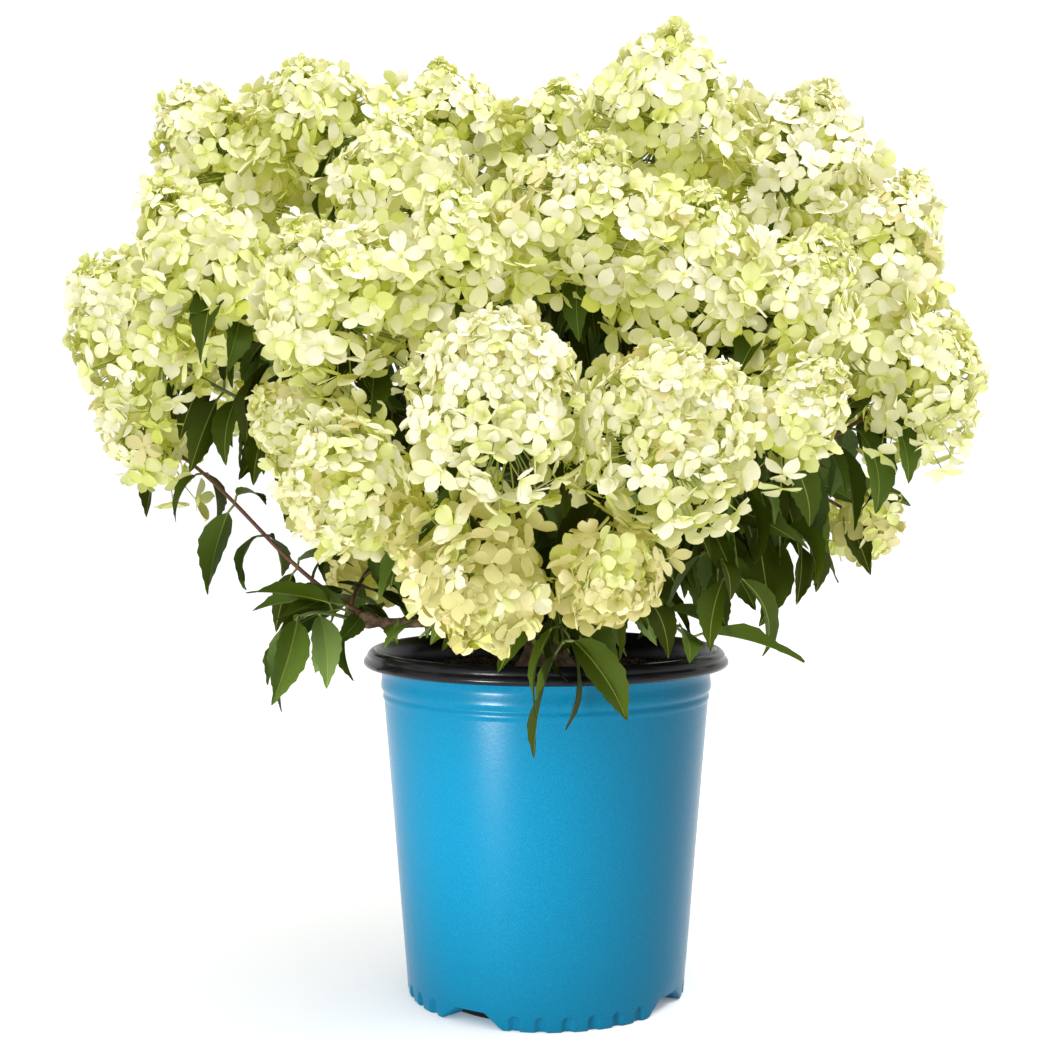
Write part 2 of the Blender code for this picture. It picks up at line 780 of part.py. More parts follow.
def build_shoots(space):
    shoots = []
    for bough in BOUGHS.values():
        mine = [Head(name, form) for name, form in bough["heads"].items()]
        mine += [LeafyShoot(name, form) for name, form in bough["leafy"].items()]
        seat_on_knuckle(bough, mine)
        shoots += mine
    for shoot in shoots:
        if isinstance(shoot, Head):
            shoot.grow_core(space)
    for shoot in shoots:
        shoot.grow_frame(space)
    for shoot in shoots:
        if isinstance(shoot, Head):
            shoot.grow_sprays(space)
    for shoot in shoots:
        if isinstance(shoot, Head):
            shoot.grow_leaves(space, LEAF_SPAN)
            shoot.finish(shoot.colour)
        else:
            shoot.grow_leaves(space, LEAFY_SPAN)
            shoot.finish(GREEN)


def main():
    clear_scene()
    space = Space()
    take_object(space, build_pot())
    take_object(space, build_mix())
    build_woody_base(space)
    for name, bough in BOUGHS.items():
        build_bough(name, bough, space)
    build_shoots(space)
    for made in bpy.context.scene.objects:
        made.data.shade_flat()


main()
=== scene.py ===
"""Looks for the potted panicle hydrangea: petals, leaves, twigs, bark, potting mix and the satin pot."""

import math

import bpy
import numpy as np
from mathutils import Matrix, Quaternion, Vector


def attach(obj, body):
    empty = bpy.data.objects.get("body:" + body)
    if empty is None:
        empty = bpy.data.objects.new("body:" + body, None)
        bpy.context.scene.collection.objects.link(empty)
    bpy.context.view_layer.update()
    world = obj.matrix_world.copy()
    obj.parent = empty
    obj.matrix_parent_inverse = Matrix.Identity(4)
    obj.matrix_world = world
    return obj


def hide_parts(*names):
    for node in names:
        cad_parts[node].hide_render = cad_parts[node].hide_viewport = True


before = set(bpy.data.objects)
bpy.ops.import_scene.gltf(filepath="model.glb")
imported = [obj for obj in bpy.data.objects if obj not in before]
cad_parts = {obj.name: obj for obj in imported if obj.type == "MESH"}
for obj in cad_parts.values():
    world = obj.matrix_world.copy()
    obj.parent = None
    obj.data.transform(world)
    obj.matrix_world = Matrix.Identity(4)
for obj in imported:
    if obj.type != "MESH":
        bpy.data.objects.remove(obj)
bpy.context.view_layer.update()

UP = Vector((0.0, 0.0, 1.0))
GOLDEN_TURN = math.radians(137.508)

# The pot.
POT_HEIGHT = 0.222
RIM_RADIUS = 0.1175
LIP_FOOT = 0.2115
MOUTH_RADIUS = 0.1092
BAND_RADIUS = 0.1066
BAND_FOOT = 0.1985
WALL_TOP_RADIUS = 0.1052
BASE_RADIUS = 0.0893
WALL = 0.0016
WALL_HEIGHTS = (0.022, 0.188)
WALL_ROWS = 24
LINING_HEIGHTS = (0.2100, 0.2000)
POT_TURNS = 480
PIN_RADIUS = 1e-5

# The drainage pockets cut up into the foot, which leave a foot between each two.
POCKETS = 4
FIRST_POCKET = math.radians(-32.0)
POCKET_HEIGHT = 0.0095
POCKET_DEPTH = 0.016
POCKET_EDGE = 0.0004
POCKET_WIDTH_LOW = 0.045
POCKET_WIDTH_HIGH = 0.021

# Heights where the foot's outline has a ring, and how far its lowest ring is rounded in.
FOOT_HEIGHTS = (
    0.0, 0.0012, 0.0024, 0.0036, 0.0048, 0.006, 0.0072, 0.0082, 0.009, 0.0098, 0.0106, 0.0125, 0.016,
)
FOOT_ROUND = 0.0008

# The beads below the band (height, how far they swell out), the band (height, how far in), the rolled lip
# (how far in from the rim's edge, how far above its foot) and the mouth (how far out, how far below the top).
BEADS = (
    (0.1890, 0.0), (0.1898, 0.0004), (0.1908, 0.0007), (0.1925, 0.0005), (0.1938, -0.0002),
    (0.1948, -0.0002), (0.1958, 0.0008), (0.1970, 0.0013), (0.1985, 0.0014),
)
BAND = ((0.2010, 0.0003), (0.2040, 0.0006), (0.2098, 0.0006))
LIP = (
    (0.0102, -0.0014), (0.0030, -0.0006), (0.0010, 0.0), (0.0, 0.0012), (0.0, 0.0028),
    (0.0008, 0.0042), (0.0021, 0.0050), (0.0024, 0.0058), (0.0021, 0.0066), (0.0030, 0.0082),
    (0.0044, 0.0096), (0.0058, 0.0102),
)
MOUTH = ((0.0012, 0.0), (0.0, 0.0010))
SEAM_TURN = math.radians(-10.0)
SEAM_WIDTH = 0.006
SEAM_RELIEF = 0.0003

# Flutes pressed into each foot. Their tops are arched, and their sides and tops slope.
FLUTES = 6
FLUTE_PITCH = math.radians(10.3)
FLUTE_WIDTH = math.radians(4.5)
FLUTE_HEIGHT = 0.0098
FLUTE_DEPTH = 0.0022
FLUTE_ARCH = 0.0030
FLUTE_SIDE = 0.35
FLUTE_TOP = 0.0016

# The potting mix, with chips of bark in it.
MIX_EDGE = 0.2035
MIX_TOP = 0.2085
MIX_RADIUS = 0.1046
MIX_RINGS = 60
MIX_TURNS = 160
MIX_ROUGH = (-0.0010, 0.0012)
CHIPS = 1500
CHIP_SIZES = (0.0010, 0.0034)
CHIP_SHAPE = (1.0, 0.45, 0.35)

# The woody base, and the boughs that grow out of its heart and end in a knuckle.
WOOD_HEIGHT = 0.026
WOOD_FOOT_RADIUS = 0.021
WOOD_RADIUS = 0.013
WOOD_TOP = 0.7
HEART_SHARE = 0.62
STUB_REACH = 0.024
STUB_THICK = 0.18
LEAST_SLOPE = 0.45
MOST_SLOPE = 2.6
BOUGH_THIN = 0.0028
BOUGH_RISE = 0.25
BOUGH_STEPS = 40
LEAFY_STEPS = 24
KNUCKLE_RADIUS = 0.0052
KNUCKLE_BACK = 3.0
KNUCKLE_SPREAD = 6.0
KNUCKLE_END = 0.8
CLEARANCE = 0.0003
SEAT = 0.00035

# Shoots.
SHOOT_RADIUS = 0.0015
SHOOT_RING = 0.0036
SHOOT_AHEAD = 0.9
SHOOT_BENDS = (0.0, 0.25, 0.5, 0.8, 1.2, 1.7)
SHOOT_TURNS = 12
LEAFY_DROOP = 0.5
RED_BELOW = 0.40
CAP = 0.4

# Leaves: how far along a limb they stand, how far apart, and the droops and sizes tried in turn for each.
BOUGH_LEAVES = (0.25, 0.98)
HEADED_LEAVES = (0.10, 0.97)
LEAFY_LEAVES = (0.12, 0.97)
LEAF_STEP = 0.0110
SPARSE_SHOOT = "head_left_small"
SPARSE_STEP = 0.028
LEAF_LENGTH = 0.058
LEAF_SIZES = (0.60, 1.05)
LEAF_DROOPS = ((0.9, 1.0), (0.5, 1.0), (1.5, 0.9), (0.2, 0.8), (0.7, 0.6), (2.4, 0.8))
LEAF_FORWARD = 0.45
LEAF_ROLL = 0.9
LEAF_TONE = 1.1
TONE_SPREAD = 0.9
LEAF_STALK = 0.14
LEAF_STALK_DROOP = 0.3
LEAF_STALK_END = 0.05
LEAF_STALK_RADII = (0.0009, 0.0008, 0.0005)

# Where leaves may grow: the heads' spaces are shrunk to HEAD_SPACE, and at most these shares of a leaf's
# points lie in another shoot's head and in its own. A leaf under LEAF_FLOOR hangs near its shoot's tip,
# clear of the rim.
HEAD_SPACE = 0.90
MOST_IN_OTHER = 0.10
MOST_IN_OWN = 0.40
LEAF_FLOOR = 0.2245
HANG_SPREAD = 0.050
RIM_CLEAR_UP = 0.002
RIM_CLEAR_OUT = 0.0015

# Where flower heads face, and the part of a head's length that its shoot runs through.
HEART = Vector((0.0, 0.0, 0.330))
HEAD_LIFT = 0.70
LEVEL_HEIGHT = 0.33
LIFT_SPAN = 0.05
LEAST_LIFT = -0.5
AXIS_FOOT = 0.18
AXIS_END = 0.30

# Florets, from the middle to a petal's tip, at the tip and the foot of a head.
FLORET_WHITE = (0.0080, 0.0128)
FLORET_LIME = (0.0105, 0.0150)
FLORET_SIZES = (0.82, 1.18)
FLORET_TILT = 0.41
FLORET_LIFT = 0.22
TAPER = 0.20
BURIED = 0.68

# The sprays that florets gather in, the swells of a head, how deep its florets lie and its loose skirt.
LEAST_SPRAYS = 9
SPRAY_AREA = 0.0017
SPRAY_DOME = 0.13
SPRAY_JITTER = 0.10
SPRAY_REACH = (0.91, 1.08)
SPRAY_FACE = 0.7
LOBE = 0.042
LOBE_WAVES = 4.0
OUTER_SHARE = 0.72
OUTER_DEPTH = (0.90, 1.0)
INNER_DEPTH = (0.60, 0.90)
SKIRT_SHARE = 0.45
SKIRT_SPREAD = 0.24
SKIRT_DROP = 0.023

# Loose florets that close the way between heads less ripe than UNRIPE.
UNRIPE = 0.6
FILL_COVER = 0.55
FILL_SHARES = (0.02, 0.9)
FILL_REACH = (0.98, 1.34)
FILL_CLEAR = 0.92
FILL_DEPTH = 0.045
FILL_SIZES = (0.82, 1.12)
FILL_SHADE = 0.86

# Stalks (how far along, how thick), and the buds at the tip of an unripe head.
STALK_RINGS = ((0.0, 0.0007), (0.5, 0.0005), (1.0, 0.0004))
BUDS = 34
BUD_SIZES = (0.0010, 0.0021)
BUD_DEPTH = (0.82, 0.98)

# Where each bough ends, in the knuckle that its shoots grow from.
KNUCKLES = {
    "left": (-0.105, 0.000, 0.335),
    "left_low": (-0.118, -0.028, 0.243),
    "left_front": (-0.070, -0.070, 0.322),
    "middle_left": (-0.045, -0.005, 0.405),
    "middle_right": (0.035, 0.000, 0.415),
    "right": (0.110, 0.000, 0.372),
    "right_low": (0.090, -0.035, 0.305),
    "front": (0.000, -0.085, 0.282),
    "back_left": (-0.080, 0.085, 0.345),
    "back_right": (0.085, 0.080, 0.345),
    "back": (0.000, 0.085, 0.375),
}

# Each bough's flower heads: middle, length, width, and ripeness from lime 0 to white 1.
HEAD_FORMS = {
    "left": {
        "head_far_left": ((-0.261, -0.010, 0.433), 0.114, 0.094, 0.30),
        "head_left_upper": ((-0.211, -0.068, 0.468), 0.104, 0.080, 0.25),
        "head_top_left": ((-0.217, 0.052, 0.543), 0.136, 0.094, 0.25),
    },
    "left_low": {
        "head_left_small": ((-0.270, 0.040, 0.362), 0.080, 0.056, 0.62),
        "head_back_low_left": ((-0.123, 0.040, 0.268), 0.054, 0.050, 0.55),
    },
    "left_front": {
        "head_left_centre": ((-0.122, -0.135, 0.435), 0.094, 0.094, 0.30),
        "head_left_low_back": ((-0.148, -0.070, 0.362), 0.070, 0.068, 0.62),
        "head_left_low_front": ((-0.113, -0.155, 0.327), 0.090, 0.082, 0.85),
    },
    "middle_left": {
        "head_centre_left": ((-0.087, -0.065, 0.506), 0.096, 0.094, 0.30),
        "head_centre_middle": ((-0.052, -0.140, 0.458), 0.086, 0.064, 0.30),
        "head_top_left_middle": ((-0.146, 0.030, 0.568), 0.090, 0.092, 0.35),
        "head_top_centre": ((-0.066, 0.050, 0.570), 0.088, 0.082, 0.30),
    },
    "middle_right": {
        "head_top_right_middle": ((0.076, 0.000, 0.570), 0.112, 0.100, 0.40),
        "head_top_middle_back": ((0.010, 0.070, 0.568), 0.076, 0.074, 0.25),
        "head_centre": ((0.019, -0.115, 0.486), 0.090, 0.092, 0.55),
        "head_centre_right": ((0.082, -0.105, 0.456), 0.094, 0.084, 0.30),
    },
    "right": {
        "head_top_right": ((0.163, 0.005, 0.541), 0.106, 0.088, 0.58),
        "head_right_upper": ((0.214, -0.005, 0.484), 0.108, 0.088, 0.56),
        "head_right_front": ((0.148, -0.105, 0.438), 0.078, 0.084, 0.40),
    },
    "right_low": {
        "head_far_right_low": ((0.236, -0.005, 0.399), 0.098, 0.100, 0.50),
        "head_right_middle_low": ((0.140, -0.130, 0.372), 0.068, 0.064, 0.75),
    },
    "front": {
        "head_front_left": ((-0.028, -0.230, 0.376), 0.104, 0.096, 0.96),
        "head_front_right": ((0.060, -0.220, 0.360), 0.102, 0.096, 0.95),
        "head_front_low_left": ((-0.038, -0.200, 0.277), 0.080, 0.074, 0.65),
        "head_front_low_side": ((-0.072, -0.160, 0.302), 0.050, 0.046, 0.65),
        "head_front_low": ((0.031, -0.200, 0.281), 0.062, 0.060, 0.75),
    },
    "back_left": {
        "head_back_left_top": ((-0.140, 0.135, 0.500), 0.100, 0.088, 0.30),
        "head_back_left": ((-0.205, 0.125, 0.420), 0.094, 0.080, 0.40),
        "head_back_left_low": ((-0.110, 0.200, 0.365), 0.090, 0.080, 0.75),
    },
    "back_right": {
        "head_back_right_top": ((0.125, 0.135, 0.505), 0.100, 0.088, 0.35),
        "head_back_right": ((0.200, 0.120, 0.415), 0.094, 0.080, 0.40),
        "head_back_right_low": ((0.120, 0.195, 0.365), 0.090, 0.080, 0.75),
        "head_right_small": ((0.229, 0.100, 0.300), 0.054, 0.054, 0.70),
    },
    "back": {
        "head_back_top": ((-0.012, 0.150, 0.510), 0.096, 0.086, 0.35),
        "head_back": ((0.004, 0.215, 0.425), 0.100, 0.088, 0.55),
        "head_back_low": ((0.004, 0.195, 0.305), 0.082, 0.076, 0.80),
    },
}

# Each bough's leafy shoots: tip, how pale the leaves are from 0 to 3, and whether they hang past the rim.
# # The low left shoot's pale leaves are painted light, for leaves that hang lit in the open.
LEAFY_FORMS = {
    "left_low": {"leaves_left_low": ((-0.152, -0.062, 0.246), 2.0, True)},
    "right_low": {
        "leaves_right_low": ((0.158, -0.050, 0.292), 1.1, False),
        "leaves_right_front": ((0.104, -0.125, 0.275), 1.1, False),
    },
    "front": {
        "leaves_front": ((0.008, -0.152, 0.240), 0.4, True),
        "leaves_front_right": ((0.082, -0.122, 0.238), 1.1, False),
        "leaves_front_left": ((-0.075, -0.100, 0.238), 1.3, False),
    },
    "back_left": {"leaves_back_left": ((-0.150, 0.130, 0.285), 1.3, False)},
    "back_right": {"leaves_back_right": ((0.130, 0.130, 0.272), 1.3, False)},
}

# Petal colours from lime to white, then a blush, and a dark buff that is partly the colour of old florets and
# partly painted shade on low heads. A floret's colour is a number among them.
PETAL_COLOURS = (
    (0.375, 0.430, 0.045),
    (0.500, 0.545, 0.110),
    (0.595, 0.632, 0.200),
    (0.660, 0.685, 0.325),
    (0.720, 0.712, 0.465),
    (0.755, 0.740, 0.600),
    (0.650, 0.585, 0.340),
    (0.500, 0.462, 0.215),
)
# Painted glow: the petals give off a little yellow light of their own, lifting their shade in place of light
# through them.
PETAL_PAINTED_GLOW = (0.82, 0.80, 0.05)
EYE = 2
BLUSH = 6
BUFF_AND_SHADE = 7

# The colour number of a lime and of a white head, and how much limer florets are deep inside (below INSIDE),
# at a head's foot, on a low head and at an unripe tip. Deep inside and on a low head this is painted shade,
# darker and limer. The heads listed last are this much whiter, painted light on the right of the crown.
TINT_LIME = 3.8
TINT_WHITE = 4.7
TINT_NOISE = 0.5
INSIDE = 0.92
LIMER_SHADE_INSIDE = 5.0
LIMER_FOOT = 1.2
LIMER_SHADE_LOW = 1.1
LIMER_TIP = 1.5
# Painted light: these heads on the right of the crown are made whiter in place of more light on them.
PAINTED_LIGHT_PALER = {"head_top_right": 0.6, "head_right_upper": 0.6}

# Heads below LOW_HEAD are low, wholly so LOW_SPAN further down. More of their florets take blush and a dark
# buff,
# # painted shade from the crown above them.
LOW_HEAD = 0.37
LOW_SPAN = 0.10
RIPE = 0.5
TURNED = 0.05
TURNED_SHADE_LOW = 0.80
BUFF_SHADE_LOW = 0.6

# Leaf colours from dark to pale, then the midrib's number and colour.
LEAF_COLOURS = (
    (0.030, 0.042, 0.001),
    (0.043, 0.068, 0.003),
    (0.066, 0.108, 0.012),
    (0.110, 0.168, 0.040),
)
MIDRIB = 4
RIB_COLOUR = (0.17, 0.21, 0.035)

# The stalks inside the heads, the green shoots and the reddish lower shoots, and their numbers.
TWIG_COLOURS = {
    "stalk": (0.42, 0.52, 0.14),
    "shoot_green": (0.16, 0.20, 0.05),
    "shoot_red": (0.14, 0.060, 0.035),
}
STALK, GREEN, RED = range(3)

# The studio. Each soft box has its place, what it points at, its size, its power and how wide it spreads.
# The low one lights little but the pot.
WORLD_STRENGTH = 1.08
FLOOR_REACH = 6
FLOOR_GLOW = 0.11
SOFT_BOXES = {
    "key": ((-1.0, -1.45, 1.5), (0.0, 0.0, 0.3), (1.0, 0.8), 7.0, math.pi),
    "fill": ((0.95, -0.55, 2.1), (0.12, 0.0, 0.52), (1.0, 0.8), 27.0, math.pi),
    "pot_left": ((-0.53, -0.74, 0.055), (-0.02, -0.06, 0.13), (0.20, 0.10), 0.48, math.radians(28.0)),
}

# The camera: its sensor in millimetres, the photo's width and focal length in pixels, and its place.
SENSOR = 36.0
PHOTO_WIDTH = 1056.0
FOCAL_LENGTH = 1580.0
CAMERA_PLACE = (-0.0116, -1.0213, 0.3312)
CAMERA_DIP = 1.82


# ---- materials


def new_material(name, colour, roughness, specular):
    made = bpy.data.materials.new(name)
    made.use_nodes = True
    shader = made.node_tree.nodes["Principled BSDF"]
    shader.inputs["Base Color"].default_value = (*colour, 1.0)
    shader.inputs["Roughness"].default_value = roughness
    shader.inputs["Specular IOR Level"].default_value = specular
    return made, shader


def node(made, kind, **sockets):
    """A new node, with the sockets that are named set."""
    new = made.node_tree.nodes.new(kind)
    for name, value in sockets.items():
        new.inputs[name].default_value = value
    return new


def noise(made, scale, detail=3.0, roughness=0.5):
    coords = node(made, "ShaderNodeTexCoord")
    new = node(made, "ShaderNodeTexNoise", Scale=scale, Detail=detail, Roughness=roughness)
    made.node_tree.links.new(coords.outputs["Object"], new.inputs["Vector"])
    return new.outputs["Fac"]


def add_glow(shader, colour, strength):
    shader.inputs["Emission Color"].default_value = (*colour, 1.0)
    shader.inputs["Emission Strength"].default_value = strength


def add_bump(made, shader, height, distance, strength=1.0):
    bump = node(made, "ShaderNodeBump", Strength=strength, Distance=distance)
    made.node_tree.links.new(height, bump.inputs["Height"])
    made.node_tree.links.new(bump.outputs["Normal"], shader.inputs["Normal"])


def add_ramp(made, shader, source, dark, pale, start=0.35, end=0.65):
    """Two colours mixed by a pattern."""
    ramp = node(made, "ShaderNodeValToRGB")
    for stop, colour, position in zip(ramp.color_ramp.elements, (dark, pale), (start, end)):
        stop.position = position
        stop.color = (*colour, 1.0)
    made.node_tree.links.new(source, ramp.inputs["Fac"])
    made.node_tree.links.new(ramp.outputs["Color"], shader.inputs["Base Color"])


def fine_materials(colours, roughness, specular, scale, depth, strength, glow=0.0):
    """A material for each named colour with a fine bump, and for petals a painted glow that lifts their
    shade.
    """
    made = []
    for name, colour in colours.items():
        new, shader = new_material(name, colour, roughness, specular)
        if glow:
            add_glow(shader, PETAL_PAINTED_GLOW, glow)
        add_bump(new, shader, noise(new, scale), depth, strength)
        made.append(new)
    return made


def petal_materials():
    colours = {f"petal_{number}": colour for number, colour in enumerate(PETAL_COLOURS)}
    return fine_materials(colours, 0.6, 0.15, 900.0, 0.0002, 0.5, 0.12)


def leaf_materials():
    colours = {f"leaf_{number}": colour for number, colour in enumerate(LEAF_COLOURS)}
    leaves = fine_materials(colours, 0.55, 0.08, 700.0, 0.0003, 0.6)
    return leaves + fine_materials({"midrib": RIB_COLOUR}, 0.6, 0.15, 1500.0, 0.0001, 0.5)


def twig_materials():
    return fine_materials(TWIG_COLOURS, 0.5, 0.3, 1200.0, 0.0002, 0.6)


def bark_material():
    made, shader = new_material("bark", (0.2, 0.13, 0.08), 0.85, 0.2)
    grain = noise(made, 260.0, 6.0, 0.65)
    add_ramp(made, shader, grain, (0.085, 0.050, 0.028), (0.27, 0.18, 0.11))
    add_bump(made, shader, grain, 0.0008)
    return made


def mix_material():
    made, shader = new_material("potting_mix", (0.03, 0.02, 0.015), 0.95, 0.2)
    grain = noise(made, 420.0, 6.0, 0.7)
    add_ramp(made, shader, grain, (0.010, 0.007, 0.005), (0.075, 0.048, 0.032))
    add_bump(made, shader, grain, 0.0015)
    return made


def blue_material():
    """Satin blue plastic with a fine speckle in it."""
    made, shader = new_material("pot_blue", (0.0, 0.108, 0.196), 0.25, 0.11)
    speckle = noise(made, 1500.0, 2.0, 0.5)
    add_ramp(made, shader, speckle, (0.0, 0.094, 0.172), (0.001, 0.118, 0.214), 0.42, 0.60)
    add_bump(made, shader, noise(made, 500.0, 4.0), 0.00008, 0.5)
    return made


def black_material():
    made, shader = new_material("pot_black", (0.005, 0.005, 0.006), 0.22, 0.17)
    add_bump(made, shader, noise(made, 300.0), 0.0001, 0.5)
    return made


# ---- meshes


def new_object(name, data):
    made = bpy.data.objects.new(name, data)
    bpy.context.scene.collection.objects.link(made)
    return made


class Batch:
    """Points and faces of many small things, gathered into one piece."""

    def __init__(self):
        self.points = []
        self.faces = {3: [], 4: []}
        self.colours = {3: [], 4: []}
        self.count = 0

    def add(self, points, faces, colours):
        """Points (n, 3), faces (m, 3) or (m, 4), and a colour number for each face."""
        points = np.asarray(points, float)
        faces = np.asarray(faces, int)
        sides = faces.shape[1]
        self.points.append(points)
        self.faces[sides].append(faces + self.count)
        self.colours[sides].append(np.broadcast_to(colours, len(faces)))
        self.count += len(points)

    def add_copies(self, shape, turns, places, sizes, colours):
        """Copies of one shape. colours holds a colour number for each copy and each face."""
        points, faces = shape
        moved = np.einsum("nij,vj->nvi", turns, points) * sizes[:, None, None] + places[:, None, :]
        every = faces[None] + (np.arange(len(places)) * len(points))[:, None, None]
        self.add(moved.reshape(-1, 3), every.reshape(-1, faces.shape[1]), colours.reshape(-1))

    def build(self, name, materials, smooth=True):
        """An object of all the faces, those of three sides first."""
        points = np.concatenate(self.points)
        kinds = [np.concatenate(faces) for faces in self.faces.values() if faces]
        corners = np.concatenate([faces.ravel() for faces in kinds])
        totals = np.concatenate([np.full(len(faces), faces.shape[1]) for faces in kinds])
        mesh = bpy.data.meshes.new(name)
        mesh.vertices.add(len(points))
        mesh.vertices.foreach_set("co", points.ravel())
        mesh.loops.add(len(corners))
        mesh.loops.foreach_set("vertex_index", corners)
        mesh.polygons.add(len(totals))
        mesh.polygons.foreach_set("loop_start", np.cumsum(totals) - totals)
        mesh.polygons.foreach_set("loop_total", totals)
        colours = np.concatenate([*self.colours[3], *self.colours[4]])
        mesh.polygons.foreach_set("material_index", colours)
        mesh.polygons.foreach_set("use_smooth", np.full(len(totals), smooth))
        mesh.update(calc_edges=True)
        mesh.validate()
        for made in materials:
            mesh.materials.append(made)
        return new_object(name, mesh)


def hang(piece, slot, *nodes):
    """Hangs a finished piece on the plant, and hides the solids it stands for."""
    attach(piece, "root")
    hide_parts(*nodes)


def frames_from(ways, spins):
    """Turns (n, 3, 3) that take +Z to each way, spun about it."""
    ways = ways / np.linalg.norm(ways, axis=1, keepdims=True)
    helper = np.where(np.abs(ways[:, 2:3]) < 0.9, [[0.0, 0.0, 1.0]], [[1.0, 0.0, 0.0]])
    side = np.cross(helper, ways)
    side /= np.linalg.norm(side, axis=1, keepdims=True)
    other = np.cross(ways, side)
    cos, sin = np.cos(spins)[:, None], np.sin(spins)[:, None]
    return np.stack([side * cos + other * sin, other * cos - side * sin, ways], axis=2)


def grid_faces(rows, columns):
    """Quads of a sheet of points laid out row by row."""
    row, column = np.meshgrid(np.arange(rows - 1), np.arange(columns - 1), indexing="ij")
    first = (row * columns + column).ravel()
    return np.stack([first, first + 1, first + columns + 1, first + columns], axis=1)


def ring_faces(rings, sides):
    """Quads of a tube of points laid out ring by ring, facing out where its rings turn about its way."""
    first = (np.arange(rings - 1) * sides)[:, None]
    low = first + np.arange(sides)
    after = first + (np.arange(sides) + 1) % sides
    return np.stack([low, after, after + sides, low + sides], axis=2).reshape(-1, 4)


def rays(turns, across, beside):
    """Rays (n, 3) at each turn, in the plane of two unit directions."""
    return np.cos(turns)[:, None] * np.array(across) + np.sin(turns)[:, None] * np.array(beside)


def turn_away(turn, middle):
    """How far each turn is from a middle one, from minus to plus half a circle."""
    return (turn - middle + math.pi) % math.tau - math.pi


# ---- the limbs, by the solids' own rules


def curve_between(start, start_way, end, end_way, steps):
    pull = (end - start).length
    points = []
    for step in range(steps + 1):
        t = step / steps
        points.append(
            start * (2 * t**3 - 3 * t**2 + 1)
            + start_way * pull * (t**3 - 2 * t**2 + t)
            + end * (3 * t**2 - 2 * t**3)
            + end_way * pull * (t**3 - t**2)
        )
    return points


def ways_along(points):
    ways = []
    for number in range(len(points)):
        before = points[max(number - 1, 0)]
        after = points[min(number + 1, len(points) - 1)]
        ways.append((after - before).normalized())
    return ways


def wood_heart():
    return Vector((0.0, 0.0, MIX_TOP + CLEARANCE + WOOD_HEIGHT * HEART_SHARE))


def stub_way(knuckle):
    out = Vector((knuckle.x, knuckle.y, 0.0)).normalized()
    slope = (knuckle.z - MIX_TOP - WOOD_HEIGHT) / knuckle.xy.length
    return (out + UP * min(max(slope, LEAST_SLOPE), MOST_SLOPE)).normalized()


def bough_line(bough, steps):
    knuckle = Vector(KNUCKLES[bough])
    way = stub_way(knuckle)
    start = wood_heart() + way * (STUB_REACH + SEAT)
    end_way = ((knuckle - start).normalized() + UP * BOUGH_RISE).normalized()
    return curve_between(start, way, knuckle, end_way, steps), end_way


def head_radius(share):
    """How wide a head is at shares of its length, from its foot 0 to its tip 1, as a share of its half."""
    return np.sin(np.pi * np.clip(share, 0.0, 1.0) ** 0.72) ** 0.62


def seats_on_knuckle(bough, targets):
    """Where each shoot starts: evenly round the end of its bough, on the side that it leans to."""
    _, way = bough_line(bough, 5)
    knuckle = Vector(KNUCKLES[bough])
    across = way.orthogonal().normalized()
    beside = way.cross(across)
    leans = []
    for name, target in targets.items():
        aim = target - knuckle
        leans.append((math.atan2(aim.dot(beside), aim.dot(across)), name))
    leans.sort()
    gap = math.tau / len(leans)
    offsets = [lean - number * gap for number, (lean, _) in enumerate(leans)]
    offset = math.atan2(sum(map(math.sin, offsets)), sum(map(math.cos, offsets)))
    seats = {}
    for number, (_, name) in enumerate(leans):
        ray = Quaternion(way, offset + number * gap) @ across
        seats[name] = (knuckle + way * SEAT + ray * SHOOT_RING, way)
    return seats


class Head:
    """A flower head's space."""

    def __init__(self, name, form):
        middle, self.length, self.width, self.ripeness = form
        self.name = name
        self.middle = Vector(middle)
        lift = HEAD_LIFT * min(max((self.middle.z - LEVEL_HEIGHT) / LIFT_SPAN, LEAST_LIFT), 1.0)
        self.way = ((self.middle - HEART).normalized() + UP * lift).normalized()
        self.across = self.way.orthogonal().normalized()
        self.beside = self.way.cross(self.across)
        self.area = math.pi * self.width * self.length
        self.low = min(max((LOW_HEAD - self.middle.z) / LOW_SPAN, 0.0), 1.0)

    def holds(self, points, grow=1.0):
        """Whether each point (n, 3) lies in the head's space, made larger or smaller by grow."""
        away = points - np.array(self.middle)
        along = away @ np.array(self.way)
        around = np.linalg.norm(away - along[:, None] * np.array(self.way), axis=1)
        share = along / (self.length * grow) + 0.5
        inside = (share > 0.0) & (share < 1.0)
        return inside & (around < head_radius(share) * self.width / 2 * grow)


HEADS = {name: Head(name, form) for forms in HEAD_FORMS.values() for name, form in forms.items()}


def in_other_head(points, own, grow=1.0, ripest=1.0):
    found = np.zeros(len(points), bool)
    for name, head in HEADS.items():
        if name != own and head.ripeness <= ripest:
            found |= head.holds(points, grow)
    return found


def shoot_line(name, seat, way, end, end_way, steps=16):
    """A shoot's way, bent aside where the straight one would run through another head."""
    ahead = (end - seat).normalized()
    aside = ahead.orthogonal().normalized()
    best, fewest = None, None
    for bend in SHOOT_BENDS:
        for turn in range(SHOOT_TURNS if bend else 1):
            detour = Quaternion(ahead, math.tau * turn / SHOOT_TURNS) @ aside * bend
            first_way = (way + ahead * SHOOT_AHEAD + detour).normalized()
            last_way = (end_way - detour * 0.5).normalized()
            line = curve_between(seat, first_way, end, last_way, steps)
            hits = int(in_other_head(np.array(line), name, HEAD_SPACE).sum())
            if fewest is None or hits < fewest:
                best, fewest = line, hits
            if not fewest:
                return best
    return best


# ---- tubes


